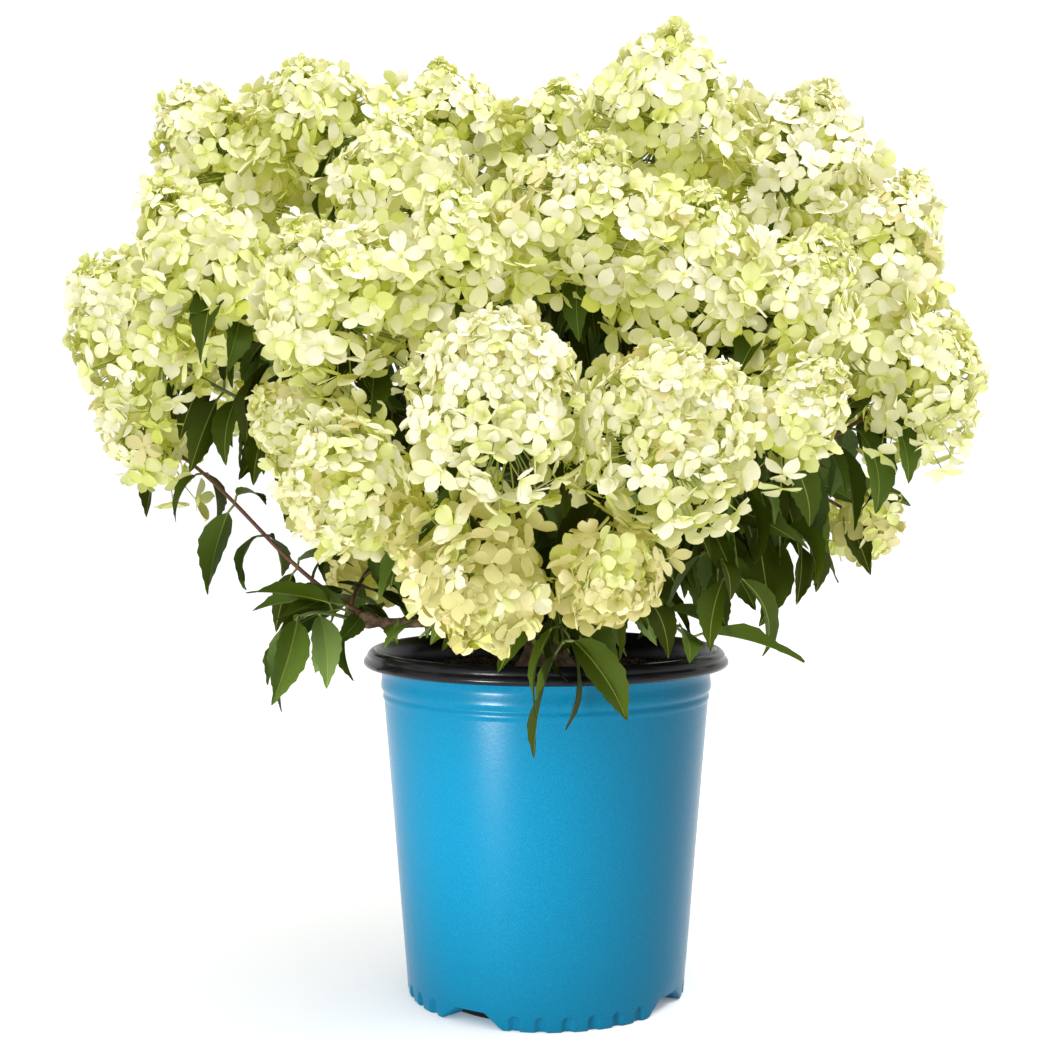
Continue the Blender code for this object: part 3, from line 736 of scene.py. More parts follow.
def add_tube(batch, line, radii, sides, colour, rough=0.0, seed=0):
    """A tapering limb with rounded ends. rough moves its skin in and out by a share of its radius."""
    chance = np.random.default_rng(seed)
    ways = ways_along(line)
    across = ways[0].orthogonal().normalized()
    rings = []
    for number, (point, way) in enumerate(zip(line, ways)):
        if number:
            across = ways[number - 1].rotation_difference(way) @ across
        across = (across - way * across.dot(way)).normalized()
        beside = way.cross(across)
        ray = rays(np.arange(sides) * math.tau / sides, across, beside)
        out = radii[number] * (1.0 + rough * chance.uniform(-1.0, 1.0, sides))
        rings.append(np.array(point) + ray * out[:, None])
    first = np.array(line[0] - ways[0] * radii[0] * CAP)
    last = np.array(line[-1] + ways[-1] * radii[-1] * CAP)
    points = np.concatenate([*rings, first[None], last[None]])
    ends = len(rings) * sides
    side = np.arange(sides)
    near = np.stack([np.full(sides, ends), (side + 1) % sides, side], axis=1)
    top = ends - sides
    far = np.stack([np.full(sides, ends + 1), top + side, top + (side + 1) % sides], axis=1)
    base = batch.count
    batch.add(points, ring_faces(len(rings), sides), colour)
    batch.faces[3].append(np.concatenate([near, far]) + base)
    batch.colours[3].append(np.full(2 * sides, colour))


# ---- petals


PETAL_STEPS = np.array([0.0, 0.24, 0.46, 0.68, 0.87, 1.0])
PETAL_WIDEST = 0.60
PETAL_QUADS = grid_faces(len(PETAL_STEPS), 3)
PETAL_IS_ROOT = np.arange(len(PETAL_QUADS)) < 2
PETALS = 4
PETAL_BROAD = (0.32, 0.42)
PETAL_CLAW = 0.035
PETAL_TIP = 0.34
PETAL_CUP = (-0.10, 0.22)
PETAL_BOW = (-0.34, 0.14)
PETAL_TWIST = (-0.22, 0.22)
OPEN_KINDS = 12
OPEN_TILTS = (-0.18, 0.48)
SHUT_KINDS = 3
SHUT_TILTS = (0.7, 1.15)
FLORET_SEED = 11


def petal_shape(chance, broad):
    """One petal as a sheet along +Y from its claw, facing +Z, one unit long, broad across its half."""
    along = PETAL_STEPS
    claw = np.sin(math.pi / 2 * np.clip(along / PETAL_WIDEST, 0, 1)) ** 1.15
    past = np.clip((along - PETAL_WIDEST) / (1 - PETAL_WIDEST), 0, 1)
    wide = broad * claw * np.sqrt(1 - past**2) + PETAL_CLAW
    wide[-1] = broad * PETAL_TIP
    across = np.array([-1.0, 0.0, 1.0])
    x = wide[:, None] * across
    y = along[:, None] * (1.02 - 0.07 * np.abs(across))
    cup = chance.uniform(*PETAL_CUP)
    bow = chance.uniform(*PETAL_BOW)
    twist = chance.uniform(*PETAL_TWIST)
    z = cup * np.abs(across) * claw[:, None] + bow * along[:, None] ** 2 + twist * x * along[:, None]
    return np.stack([x, y, z], axis=2).reshape(-1, 3)


def floret_shape(chance, tilt):
    """Four petals round a small eye, in two crossed pairs, one unit from the middle to a petal's tip.
    The upper pair is smaller, stands a little higher and leans up more."""
    points, faces = [], []
    broad = chance.uniform(*PETAL_BROAD)
    for number in range(PETALS):
        upper = number % 2 == 0
        petal = petal_shape(chance, broad * chance.uniform(0.93, 1.08))
        petal *= chance.uniform(0.90, 1.08) * (0.88 if upper else 1.0)
        lean = tilt + chance.uniform(-0.15, 0.15) + 0.05 * upper
        y = petal[:, 1] * math.cos(lean) - petal[:, 2] * math.sin(lean)
        z = petal[:, 2] * math.cos(lean) + petal[:, 1] * math.sin(lean) + 0.04 * upper
        turn = math.tau * number / PETALS + chance.uniform(-0.13, 0.13)
        x = petal[:, 0] * math.cos(turn) - y * math.sin(turn)
        y = petal[:, 0] * math.sin(turn) + y * math.cos(turn)
        faces.append(PETAL_QUADS + len(points) * len(petal))
        points.append(np.stack([x, y, z], axis=1))
    return np.concatenate(points), np.concatenate(faces)


def floret_shapes():
    """Open florets, then half-open ones."""
    chance = np.random.default_rng(FLORET_SEED)
    tilts = [*np.linspace(*OPEN_TILTS, OPEN_KINDS), *np.linspace(*SHUT_TILTS, SHUT_KINDS)]
    return [floret_shape(chance, tilt) for tilt in tilts]


def bead_shape():
    """A small faceted bead, one unit in radius."""
    sides = 5
    side = np.arange(sides)
    turns = side * math.tau / sides
    ring = np.stack([np.cos(turns), np.sin(turns), np.zeros(sides)], axis=1)
    points = np.concatenate([ring, [[0, 0, 0.9], [0, 0, -0.9]]])
    after = (side + 1) % sides
    top = np.stack([side, after, np.full(sides, sides)], axis=1)
    low = np.stack([after, side, np.full(sides, sides + 1)], axis=1)
    return points, np.concatenate([top, low])


FLORETS = floret_shapes()
BEAD = bead_shape()


def hash_of(name):
    """A number for a name that is the same in each run."""
    return sum((number + 1) * ord(letter) * 7919 for number, letter in enumerate(name))


def directions(head, share, turn):
    """Unit ways out of a head and the rays round it, for shares of its length, by the golden turn."""
    ray = rays(turn + np.arange(len(share)) * GOLDEN_TURN, head.across, head.beside)
    lean = np.arccos(2.0 * share - 1.0)
    return ray * np.sin(lean)[:, None] + np.array(head.way) * np.cos(lean)[:, None], ray


def even_shares(count):
    return 1.0 - (np.arange(count) + 0.5) / count


def floret_size(head, share):
    """Florets grow from a head's tip to its foot, and are smaller on a ripe head that stands high."""
    small = head.ripeness * (1.0 - head.low)
    tip, foot = (lime + (white - lime) * small for lime, white in zip(FLORET_LIME, FLORET_WHITE))
    return foot + (tip - foot) * np.clip((share - 0.25) / 0.50, 0, 1)


def floret_shares(head):
    """Shares of a head's length, closer together where its florets are smaller."""
    shares = np.linspace(0.0, 1.0, 200)
    crowd = 1.0 / floret_size(head, shares) ** 2
    count = int(head.area * crowd.mean())
    return np.interp(even_shares(count), np.cumsum(crowd) / crowd.sum(), shares)


def place_in_head(head, share, ray, reach):
    along = (share - 0.5) * head.length * reach
    taper = 1.0 - TAPER * np.clip((share - 0.5) * 2.0, 0, 1)
    around = head_radius(share) * head.width / 2 * reach * taper
    return np.array(head.middle) + np.array(head.way) * along[:, None] + ray * around[:, None]


def floret_places(head, chance):
    """Where a head's florets sit, the ways they face, their depth in the head and their share of its length.
    They gather in sprays, each a small dome, and those at the head's foot hang loose."""
    share = floret_shares(head)
    count = len(share)
    ways, ray = directions(head, share, chance.uniform(0, math.tau))
    sprays = max(LEAST_SPRAYS, round(head.area / SPRAY_AREA))
    spray_ways, _ = directions(head, even_shares(sprays), chance.uniform(0, math.tau))
    spray_ways = spray_ways + chance.normal(0.0, SPRAY_JITTER, spray_ways.shape)
    spray_ways /= np.linalg.norm(spray_ways, axis=1, keepdims=True)
    near = ways @ spray_ways.T
    mine = near.argmax(axis=1)
    away = np.arccos(np.clip(near.max(axis=1), -1, 1)) * math.sqrt(sprays) / 2
    lobes = frames_from(chance.normal(0.0, 1.0, (3, 3)), np.zeros(3))[:, :, 2]
    lobe = np.cos(LOBE_WAVES * ways @ lobes.T + chance.uniform(0, math.tau, 3)).sum(axis=1)
    reach = chance.uniform(*SPRAY_REACH, sprays)[mine] - SPRAY_DOME * away**2 + LOBE * lobe
    outer = chance.random(count) < OUTER_SHARE
    depth = np.where(outer, chance.uniform(*OUTER_DEPTH, count), chance.uniform(*INNER_DEPTH, count))
    loose = (1.0 - 0.4 * head.ripeness) * np.clip(1.0 - share / SKIRT_SHARE, 0, 1)
    spread = 1.03 + SKIRT_SPREAD * loose * chance.random(count) - 0.10 * np.clip(share * 4 - 3, 0, 1)
    spots = place_in_head(head, share, ray, reach * depth * spread)
    spots[:, 2] -= SKIRT_DROP * loose * chance.random(count)
    faces = ways + SPRAY_FACE * (ways - spray_ways[mine]) + chance.normal(0.0, FLORET_TILT, (count, 3))
    faces = faces + np.array([0.0, 0.0, FLORET_LIFT]) * (1.0 - loose)[:, None]
    sizes = floret_size(head, share) * chance.uniform(*FLORET_SIZES, count)
    sizes *= 1.0 - 0.35 * (1.0 - head.ripeness) * (share > 0.88)
    keep = ~in_other_head(spots, head.name, BURIED) & (share > 0.02)
    return spots[keep], faces[keep], depth[keep], share[keep], sizes[keep]


def between_places(head, chance):
    """The same for loose florets that close the way between an unripe head and its unripe neighbours."""
    count = int(head.area / FLORET_LIME[0] ** 2 * FILL_COVER) if head.ripeness < UNRIPE else 0
    share = chance.uniform(*FILL_SHARES, count)
    ways, ray = directions(head, share, chance.uniform(0, math.tau))
    spots = place_in_head(head, share, ray, chance.uniform(*FILL_REACH, count))
    out = spots - np.array(HEART)
    out /= np.linalg.norm(out, axis=1, keepdims=True) + 1e-9
    keep = in_other_head(spots, head.name, FILL_REACH[1], UNRIPE)
    keep &= ~in_other_head(spots, head.name, FILL_CLEAR)
    keep &= ~in_other_head(spots + out * FILL_DEPTH, head.name)
    faces = out + 0.3 * ways + chance.normal(0.0, FLORET_TILT, (count, 3))
    sizes = floret_size(head, share * 0.5) * chance.uniform(*FILL_SIZES, count)
    depth = np.full(count, FILL_SHADE)
    return spots[keep], faces[keep], depth[keep], share[keep], sizes[keep]


def petal_tints(head, depth, share, chance):
    """A colour number for each floret: whiter outside and limer at an unripe tip; darker and limer deep
    inside and on low heads, which is painted shade.
    """
    count = len(depth)
    tint = TINT_LIME + (TINT_WHITE - TINT_LIME) * head.ripeness + chance.normal(0.0, TINT_NOISE, count)
    # Painted light: the heads on the right of the crown are made whiter.
    tint = tint + PAINTED_LIGHT_PALER.get(head.name, 0.0)
    # Painted shade: florets deep in the head are darker and limer.
    tint = tint - LIMER_SHADE_INSIDE * np.clip(INSIDE - depth, 0, 1)
    # On a low head the florets are also darker and limer, painted shade from the crown above.
    tint = tint - LIMER_FOOT * np.clip(1.0 - share / 0.4, 0, 1) - LIMER_SHADE_LOW * head.low
    tint = tint - LIMER_TIP * (1.0 - head.ripeness) * np.clip(share - 0.85, 0, 1) * 3.0
    # Painted shade: low heads get many more blush and dark buff florets.
    turned_and_shaded = (chance.random(count) < TURNED + TURNED_SHADE_LOW * head.low**2) & (head.ripeness > RIPE)
    blush_and_shade = np.where(chance.random(count) < BUFF_SHADE_LOW * head.low, BUFF_AND_SHADE, BLUSH)
    return np.where(turned_and_shaded, blush_and_shade, np.clip(np.round(tint), 0, BLUSH - 1)).astype(int)


def grow_florets(head, petals, twigs):
    """A head's florets, each with its eye and its stalk, and the buds at its tip."""
    chance = np.random.default_rng(hash_of(head.name))
    found = zip(floret_places(head, chance), between_places(head, chance))
    spots, faces, depth, share, sizes = (np.concatenate(both) for both in found)
    count = len(spots)
    tints = petal_tints(head, depth, share, chance)
    turns = frames_from(faces, chance.uniform(0, math.tau, count))
    kinds = chance.integers(0, OPEN_KINDS, count)
    shut = chance.random(count) < 0.04 + 0.6 * (1.0 - head.ripeness) * (share > 0.86)
    kinds = np.where(shut, OPEN_KINDS + chance.integers(0, SHUT_KINDS, count), kinds)
    for kind, shape in enumerate(FLORETS):
        mine = np.flatnonzero(kinds == kind)
        if not len(mine):
            continue
        petal = chance.choice([-1, 0, 0, 0, 1], (len(mine), PETALS))
        shade = np.repeat(petal, len(PETAL_QUADS), axis=1) - np.tile(PETAL_IS_ROOT, PETALS)[None, :]
        tint = tints[mine, None]
        colour = np.where(tint >= BLUSH, tint, np.clip(tint + shade, 0, BLUSH - 1))
        petals.add_copies(shape, turns[mine], spots[mine], sizes[mine], colour)
    eyes = np.full((count, len(BEAD[1])), EYE)
    petals.add_copies(BEAD, turns, spots + turns[:, :, 2] * (sizes * 0.05)[:, None], sizes * 0.085, eyes)
    grow_stalks(head, spots, turns[:, :, 2], share, twigs)
    grow_buds(head, petals, twigs, chance)


def grow_stalks(head, spots, ways, share, twigs):
    """A thin curved stalk of three sides from the head's axis to each floret."""
    way = np.array(head.way)
    axis = np.array(head.middle) + way * ((np.maximum(share, 0.32) - 0.6) * head.length * 0.80)[:, None]
    bend = spots - ways * head.width * 0.14
    corners = []
    for t, thick in STALK_RINGS:
        middle = axis * (1 - t) ** 2 + bend * 2 * t * (1 - t) + spots * t**2
        heading = (bend - axis) * (1 - t) + (spots - bend) * t
        turns = frames_from(heading + 1e-9, np.zeros(len(spots)))
        for side in range(3):
            angle = math.tau * side / 3
            ray = turns[:, :, 0] * math.cos(angle) + turns[:, :, 1] * math.sin(angle)
            corners.append(middle + ray * thick)
    points = np.stack(corners, axis=1)
    first = np.arange(len(spots)) * len(corners)
    faces = ring_faces(len(STALK_RINGS), 3)[None] + first[:, None, None]
    twigs.add(points.reshape(-1, 3), faces.reshape(-1, 4), STALK)


def grow_buds(head, petals, twigs, chance):
    """Tight buds on short stalks at the tip of an unripe head."""
    count = int(BUDS * (1.0 - head.ripeness))
    if not count:
        return
    share = 1.0 - 0.22 * chance.random(count) ** 1.3
    ray = rays(chance.uniform(0, math.tau, count), head.across, head.beside)
    scale = chance.uniform(*BUD_DEPTH, count)
    along = ((share - 0.5) * head.length * scale)[:, None] * np.array(head.way)
    around = (head_radius(share) * head.width / 2 * scale * 0.85)[:, None] * ray
    spots = np.array(head.middle) + along + around
    keep = ~in_other_head(spots, head.name, 0.95)
    spots, share = spots[keep], share[keep]
    ways = spots - np.array(head.middle)
    turns = frames_from(ways, np.zeros(len(spots)))
    sizes = chance.uniform(*BUD_SIZES, len(spots))
    petals.add_copies(BEAD, turns, spots, sizes, np.full((len(spots), len(BEAD[1])), EYE))
    grow_stalks(head, spots, turns[:, :, 2], share, twigs)


# ---- leaves


LEAF_ROWS = 15
LEAF_ACROSS = np.array([-1.0, -0.60, -0.05, 0.05, 0.60, 1.0])
LEAF_QUADS = grid_faces(LEAF_ROWS, len(LEAF_ACROSS))
LEAF_IS_RIB = np.arange(len(LEAF_QUADS)) % (len(LEAF_ACROSS) - 1) == 2
LEAF_HALF_WIDTH = 0.178
LEAF_FOOT_WIDTH = 0.004
LEAF_TOOTH = 0.09
LEAF_FOLD = (0.10, 0.75)
LEAF_BEND = (0.2, 1.35)
LEAF_TWIST = 1.2
LEAF_QUILT = 0.008
LEAF_RIPPLE = 0.022
RIB_WIDTH = 0.010
RIB_SINK = 0.004


def leaf_shape(chance):
    """A pointed oval blade with a fold, quilted veins and a toothed edge, along +Y and facing +Z."""
    along = np.linspace(0.0, 1.0, LEAF_ROWS)
    wide = LEAF_HALF_WIDTH * np.sin(math.pi * along**0.74) ** 0.9 * (1.0 - 0.35 * along**3) + LEAF_FOOT_WIDTH
    along, wide = along[:, None], wide[:, None]
    odd = (np.arange(LEAF_ROWS) % 2)[:, None]
    edge = np.abs(LEAF_ACROSS) > 0.9
    rib = np.abs(LEAF_ACROSS) < 0.1
    between = (np.abs(LEAF_ACROSS) > 0.3) & ~edge
    middle = np.sign(LEAF_ACROSS) * RIB_WIDTH * (1.0 - 0.7 * along)
    x = np.where(rib, middle, wide * LEAF_ACROSS * np.where(edge, 1.0 + LEAF_TOOTH * odd, 1.0))
    y = along + 0.16 * np.abs(x) + 0.012 * edge * odd
    wave = chance.uniform(0.0, math.tau)
    ripple = chance.uniform(0.0, LEAF_RIPPLE) * np.sin(along * chance.uniform(9.0, 14.0) + wave) * edge
    quilt = LEAF_QUILT * (odd * 2 - 1) * between * np.sin(math.pi * along)
    z = np.abs(x) * chance.uniform(*LEAF_FOLD) + quilt + ripple - RIB_SINK * rib
    angle = chance.uniform(-LEAF_TWIST, LEAF_TWIST) * along
    x, z = x * np.cos(angle) - z * np.sin(angle), z * np.cos(angle) + x * np.sin(angle)
    bend = chance.uniform(*LEAF_BEND)
    y, z = (1.0 / bend + z) * np.sin(bend * y), (1.0 / bend + z) * np.cos(bend * y) - 1.0 / bend
    return np.stack([x, y, z], axis=2).reshape(-1, 3)


def blade_frame(way):
    """A turn that lays a blade along way with its face up."""
    side = way.cross(UP)
    side = side.normalized() if side.length > 1e-4 else Vector((1.0, 0.0, 0.0))
    face = side.cross(way).normalized()
    return np.array([side, way, face]).T


def has_room(points, own, target, hangs):
    """Whether a blade is clear of the flower heads and the pot. It may start inside its own shoot's head.
    Only a hanging shoot's leaves pass the rim."""
    if in_other_head(points, own, HEAD_SPACE).mean() > MOST_IN_OTHER:
        return False
    if own in HEADS and HEADS[own].holds(points, HEAD_SPACE).mean() > MOST_IN_OWN:
        return False
    lowest = points[points[:, 2].argmin()]
    if lowest[2] > LEAF_FLOOR:
        return True
    near = math.hypot(lowest[0] - target.x, lowest[1] - target.y) < HANG_SPREAD
    around = np.hypot(points[:, 0], points[:, 1])
    hits = (points[:, 2] < POT_HEIGHT + RIM_CLEAR_UP) & (around < RIM_RADIUS + RIM_CLEAR_OUT)
    return hangs and near and not hits.any()


def grow_leaf(leaves, twigs, chance, root, out, length, shade, room):
    """One leaf on its stalk, at the first droop and size that give it room."""
    for droop, share in LEAF_DROOPS:
        size = length * share
        base = root + (out - UP * droop * LEAF_STALK_DROOP).normalized() * size * LEAF_STALK
        way = (out - UP * droop).normalized()
        roll = chance.uniform(-LEAF_ROLL, LEAF_ROLL)
        turn = np.array(Matrix.Rotation(roll, 3, way)) @ blade_frame(way)
        points = leaf_shape(chance) @ turn.T * size + np.array(base)
        if has_room(points, *room):
            leaves.add(points, LEAF_QUADS, np.where(LEAF_IS_RIB, MIDRIB, shade))
            stalk = [root, base, base + way * size * LEAF_STALK_END]
            add_tube(twigs, stalk, LEAF_STALK_RADII, 5, GREEN)
            return


def grow_leaves(leaves, twigs, name, line, span, target, tone=LEAF_TONE, hangs=False):
    """Crossed pairs of leaves between two shares of a limb's length."""
    chance = np.random.default_rng(hash_of(name))
    first, last = span
    ways = ways_along(line)
    steps = len(line) - 1
    turn = chance.uniform(0.0, math.tau)
    reach = sum((line[number + 1] - line[number]).length for number in range(steps))
    step = SPARSE_STEP if name == SPARSE_SHOOT else LEAF_STEP
    pairs = max(3, round(reach * (last - first) / step))
    for share in np.linspace(first, last, pairs):
        number = min(int(share * steps), steps - 1)
        root = line[number].lerp(line[number + 1], share * steps - number)
        way = ways[number]
        across = Quaternion(way, turn) @ way.orthogonal().normalized()
        for sign in (1, -1):
            out = (across * sign + way * LEAF_FORWARD).normalized()
            length = LEAF_LENGTH * chance.uniform(*LEAF_SIZES)
            shade = int(np.clip(round(chance.normal(tone, TONE_SPREAD)), 0, MIDRIB - 1))
            grow_leaf(leaves, twigs, chance, root, out, length, shade, (name, target, hangs))
        turn += math.pi / 2


# ---- the plant


def grow_headed_shoot(petals, leaves, twigs, head, seat, way):
    """A shoot from its knuckle up into its flower head."""
    foot = head.middle - head.way * head.length * AXIS_FOOT
    end = head.middle + head.way * head.length * AXIS_END
    line = shoot_line(head.name, seat, way, foot, head.way)
    colour = RED if head.middle.z < RED_BELOW else GREEN
    radii = [*np.linspace(SHOOT_RADIUS, SHOOT_RADIUS * 0.8, len(line)), STALK_RINGS[0][1]]
    add_tube(twigs, line + [end], radii, 7, colour, rough=0.05, seed=hash_of(head.name))
    grow_leaves(leaves, twigs, head.name, line, HEADED_LEAVES, head.middle)
    grow_florets(head, petals, twigs)


def grow_leafy_shoot(leaves, twigs, name, form, seat, way):
    """A shoot that bears only leaves, with its tip drooping out."""
    tip, tone, hangs = form
    tip = Vector(tip)
    out = Vector((tip.x, tip.y, 0.0)).normalized()
    line = shoot_line(name, seat, way, tip, (out - UP * LEAFY_DROOP).normalized())
    radii = np.linspace(SHOOT_RADIUS, SHOOT_RADIUS * 0.5, len(line))
    add_tube(twigs, line, radii, 7, GREEN, rough=0.05, seed=hash_of(name))
    grow_leaves(leaves, twigs, name, line, LEAFY_LEAVES, tip, tone, hangs)


def grow_shoots(petals, leaves, twigs):
    """Every bough's own leaves, then its shoots."""
    for bough, knuckle in KNUCKLES.items():
        line, _ = bough_line(bough, LEAFY_STEPS)
        grow_leaves(leaves, twigs, bough, line, BOUGH_LEAVES, Vector(knuckle))
        leafy = LEAFY_FORMS.get(bough, {})
        forms = {**HEAD_FORMS[bough], **leafy}
        seats = seats_on_knuckle(bough, {name: Vector(form[0]) for name, form in forms.items()})
        for name in HEAD_FORMS[bough]:
            grow_headed_shoot(petals[bough], leaves, twigs, HEADS[name], *seats[name])
        for name, form in leafy.items():
            grow_leafy_shoot(leaves, twigs, name, form, *seats[name])


def build_wood():
    """The woody base and the boughs, with furrowed bark."""
    wood = Batch()
    foot = MIX_TOP + CLEARANCE
    heights = np.linspace(0.0, 1.0, 9)
    line = [Vector((0.0, 0.0, foot + WOOD_HEIGHT * h)) for h in heights]
    radii = [WOOD_RADIUS + (WOOD_FOOT_RADIUS - WOOD_RADIUS) * (1 - h) ** 4 for h in heights]
    radii[-1] *= WOOD_TOP
    add_tube(wood, line, radii, 28, 0, rough=0.08, seed=3)
    for number, (bough, knuckle) in enumerate(KNUCKLES.items()):
        along, _ = bough_line(bough, BOUGH_STEPS)
        way = stub_way(Vector(knuckle))
        line = [wood_heart() + way * STUB_REACH * t for t in (0.0, 0.5)] + along
        steps = len(line)
        thick = np.linspace(STUB_REACH * STUB_THICK, BOUGH_THIN, steps)
        swell = np.exp(-((np.arange(steps) - steps + KNUCKLE_BACK) ** 2) / KNUCKLE_SPREAD)
        thick = thick + (KNUCKLE_RADIUS - BOUGH_THIN) * swell
        thick[-1] *= KNUCKLE_END
        add_tube(wood, line, thick, 14, 0, rough=0.09, seed=number + 5)
    return wood.build("wood", [bark_material()])


def mix_height(share):
    """How high the heaped mix is at shares of its radius."""
    return MIX_TOP + (MIX_EDGE - MIX_TOP) * share**2


def build_mix():
    """Crumbly potting mix with chips of bark lying in it."""
    mix = Batch()
    chance = np.random.default_rng(21)
    share = np.linspace(0.0, 1.0, MIX_RINGS)[:, None]
    angle = np.arange(MIX_TURNS) * math.tau / MIX_TURNS
    radius = MIX_RADIUS * share + 0.0 * angle
    height = mix_height(share) + chance.uniform(*MIX_ROUGH, (MIX_RINGS, MIX_TURNS))
    points = np.stack([radius * np.cos(angle), radius * np.sin(angle), height], axis=2).reshape(-1, 3)
    facing_up = np.roll(ring_faces(MIX_RINGS, MIX_TURNS)[:, ::-1], 1, axis=1)
    mix.add(points, facing_up, 0)
    radius = np.sqrt(chance.random(CHIPS)) * (MIX_RADIUS - 0.004)
    angle = chance.uniform(0, math.tau, CHIPS)
    height = mix_height(radius / MIX_RADIUS) + chance.uniform(0.0, 0.0012, CHIPS)
    places = np.stack([radius * np.cos(angle), radius * np.sin(angle), height], axis=1)
    ways = chance.normal(0, 0.5, (CHIPS, 3)) + np.array([0, 0, 1.0])
    turns = frames_from(ways, chance.uniform(0, math.tau, CHIPS))
    sizes = chance.uniform(*CHIP_SIZES, CHIPS)
    shape = (BEAD[0] * np.array(CHIP_SHAPE), BEAD[1])
    mix.add_copies(shape, turns, places, sizes, np.zeros((CHIPS, len(BEAD[1])), int))
    return mix.build("mix_top", [mix_material()], smooth=False)


def pocket_height(turn):
    """How high the pot's foot is cut away at an angle round it."""
    height = np.zeros_like(turn)
    for number in range(POCKETS):
        middle = -math.pi / 2 + FIRST_POCKET + number * math.tau / POCKETS
        away = np.abs(turn_away(turn, middle)) * BASE_RADIUS
        slope = (POCKET_WIDTH_LOW / 2 - away) / ((POCKET_WIDTH_LOW - POCKET_WIDTH_HIGH) / 2)
        height = np.maximum(height, np.clip(slope, 0.0, 1.0) * POCKET_HEIGHT)
    return height


def flute_depth(turn, height):
    """How deep the flutes are pressed into the feet, at an angle and a height."""
    depth = np.zeros(np.broadcast(turn, height).shape)
    for foot in range(POCKETS):
        middle = -math.pi / 2 + FIRST_POCKET + math.pi / 4 + foot * math.tau / POCKETS
        for number in range(FLUTES):
            centre = middle + (number - (FLUTES - 1) / 2) * FLUTE_PITCH
            away = np.abs(turn_away(turn, centre)) / (FLUTE_WIDTH / 2)
            arch = FLUTE_HEIGHT - FLUTE_ARCH * away**2
            side = np.clip((1.0 - away) / FLUTE_SIDE, 0.0, 1.0)
            depth = np.maximum(depth, side * np.clip((arch - height) / FLUTE_TOP, 0.0, 1.0) * FLUTE_DEPTH)
    return depth


def wall_radius(height):
    return BASE_RADIUS + (WALL_TOP_RADIUS - BASE_RADIUS) * height / BAND_FOOT


def pot_profile():
    """The pot's outline from its foot to its lining, as (radius, height) in three stretches."""
    foot = [(wall_radius(height), height) for height in FOOT_HEIGHTS]
    wall = [(wall_radius(height), height) for height in np.linspace(*WALL_HEIGHTS, WALL_ROWS)]
    beads = [(wall_radius(height) + swell, height) for height, swell in BEADS]
    band = [(BAND_RADIUS - inset, height) for height, inset in BAND]
    lip = [(RIM_RADIUS - inset, LIP_FOOT + rise) for inset, rise in LIP]
    mouth = [(MOUTH_RADIUS + out, POT_HEIGHT - down) for out, down in MOUTH]
    lining = [(BAND_RADIUS - WALL, height) for height in LINING_HEIGHTS]
    return foot, wall + beads + band, lip + mouth + lining


def build_pot():
    """The turned pot, its fluted feet and drainage pockets, and the rolled black rim. Its base and the
    pockets' back walls are black too, painted shade.
    """
    turn = np.arange(POT_TURNS) * math.tau / POT_TURNS
    level = np.zeros(POT_TURNS)
    cut = pocket_height(turn)
    seam = SEAM_RELIEF * np.exp(-((turn_away(turn, SEAM_TURN) / SEAM_WIDTH) ** 2))
    inner = BASE_RADIUS - POCKET_DEPTH
    foot, blue, black = pot_profile()
    under = [(radius, level) for radius in (PIN_RADIUS, inner * 0.5, inner - POCKET_EDGE)] + [(inner, cut)]
    rows = list(under)
    for radius, height in foot:
        lifted = cut + height * (1.0 - cut / FOOT_HEIGHTS[-1])
        round_over = FOOT_ROUND * np.clip(1.0 - lifted / FOOT_HEIGHTS[1], 0, 1)
        rows.append((radius - flute_depth(turn, lifted) - round_over, lifted))
    rows += [(radius + seam * (height < BEADS[0][0]), level + height) for radius, height in blue]
    rows += [(radius, level + height) for radius, height in black]
    ray = np.stack([np.cos(turn), np.sin(turn)], axis=1)
    points = [np.column_stack([ray * np.reshape(radius, (-1, 1)), height]) for radius, height in rows]
    black_rim_and_shade = np.zeros(len(rows) - 1, int)
    # Painted shade: the base and the pockets' back walls take the rim's black, for the shade inside the
    # pockets.
    black_rim_and_shade[: len(under) - 1] = 1
    black_rim_and_shade[-len(black) :] = 1
    pot = Batch()
    pot.add(np.concatenate(points), ring_faces(len(rows), POT_TURNS), np.repeat(black_rim_and_shade, POT_TURNS))
    return pot.build("pot_shell", [blue_material(), black_material()])


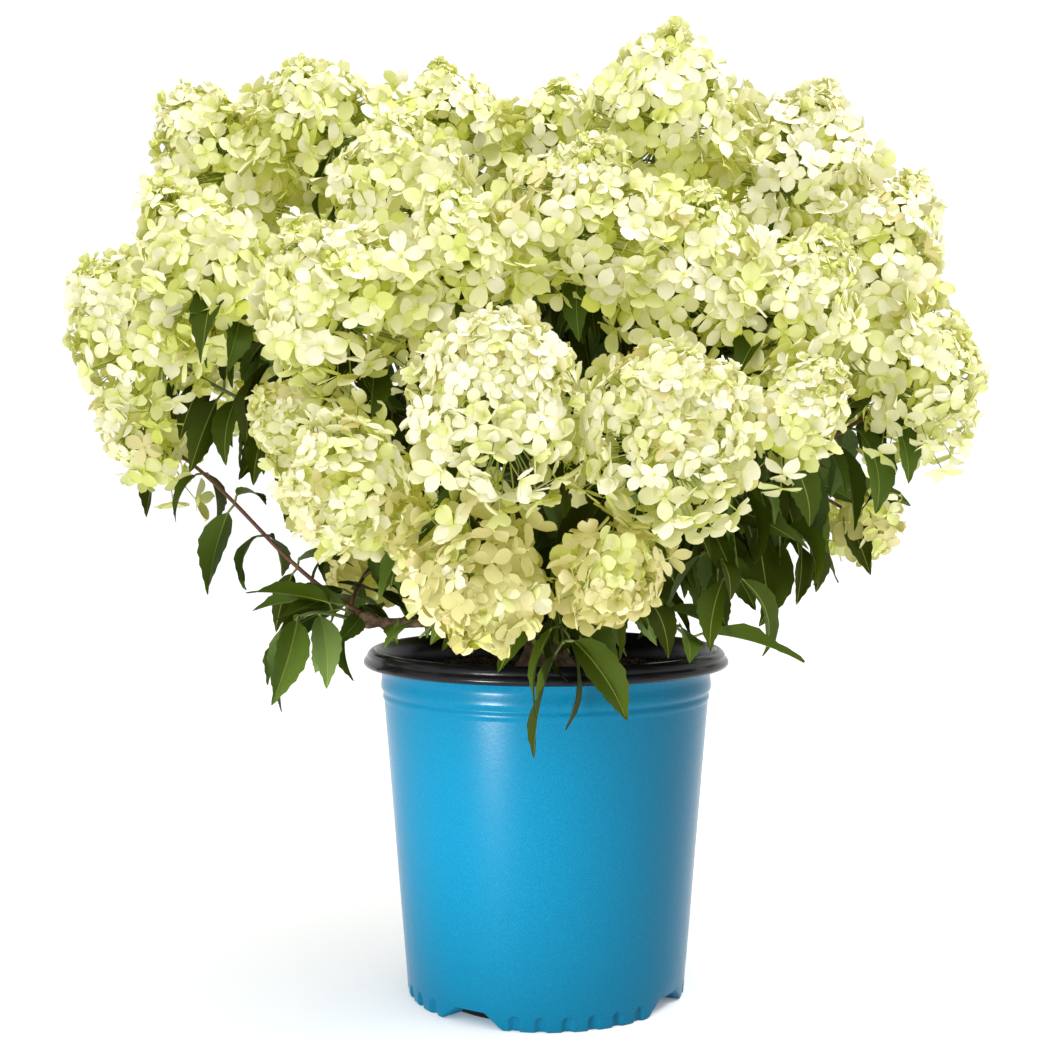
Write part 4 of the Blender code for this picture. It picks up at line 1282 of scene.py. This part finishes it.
def build_plant():
    petals = {bough: Batch() for bough in KNUCKLES}
    leaves, twigs = Batch(), Batch()
    grow_shoots(petals, leaves, twigs)
    colours = petal_materials()
    for bough, batch in petals.items():
        hang(batch.build(f"blossom_{bough}", colours), "petal_cream", *HEAD_FORMS[bough])
    leafy = [name for forms in LEAFY_FORMS.values() for name in forms]
    hang(leaves.build("foliage", leaf_materials()), "leaf_green", *leafy, *HEADS)
    hang(twigs.build("twigs", twig_materials()), "leaf_green", *leafy, *HEADS)


def add_light(name, place, target, size, power, spread):
    data = bpy.data.lights.new(name, "AREA")
    data.shape = "RECTANGLE"
    data.size, data.size_y = size
    data.energy = power
    data.spread = spread
    light = new_object(name, data)
    light.location = place
    way = Vector(target) - light.location
    light.rotation_euler = way.to_track_quat("-Z", "Y").to_euler()


def add_floor():
    reach = FLOOR_REACH
    mesh = bpy.data.meshes.new("floor")
    corners = [(-reach, -reach, 0), (reach, -reach, 0), (reach, reach, 0), (-reach, reach, 0)]
    mesh.from_pydata(corners, [], [(0, 1, 2, 3)])
    paper, shader = new_material("paper", (0.97, 0.97, 0.97), 0.9, 0.1)
    add_glow(shader, (1.0, 1.0, 1.0), FLOOR_GLOW)
    mesh.materials.append(paper)
    floor = new_object("floor", mesh)


def add_camera():
    """A camera at the photo's viewing angle, fitted to the pot's rim and foot."""
    camera = new_object("camera", bpy.data.cameras.new("camera"))
    camera.data.sensor_width = SENSOR
    camera.data.lens = SENSOR * FOCAL_LENGTH / PHOTO_WIDTH
    camera.location = CAMERA_PLACE
    camera.rotation_euler = (math.radians(90.0 - CAMERA_DIP), 0.0, 0.0)
    bpy.context.scene.camera = camera


def build_studio():
    """A pale floor, soft white light from all round, three soft boxes and the camera."""
    scene = bpy.context.scene
    add_floor()
    world = bpy.data.worlds.new("studio")
    world.use_nodes = True
    background = world.node_tree.nodes["Background"]
    background.inputs["Color"].default_value = (1.0, 1.0, 1.0, 1.0)
    background.inputs["Strength"].default_value = WORLD_STRENGTH
    scene.world = world
    for name, form in SOFT_BOXES.items():
        add_light(name, *form)
    scene.view_settings.view_transform = "Standard"
    add_camera()


build_studio()
build_plant()
hang(build_wood(), "bark", "woody_base", *(f"bough_{bough}" for bough in KNUCKLES))
hang(build_mix(), "mix_brown", "potting_mix")
hang(build_pot(), "pot_blue", "pot")
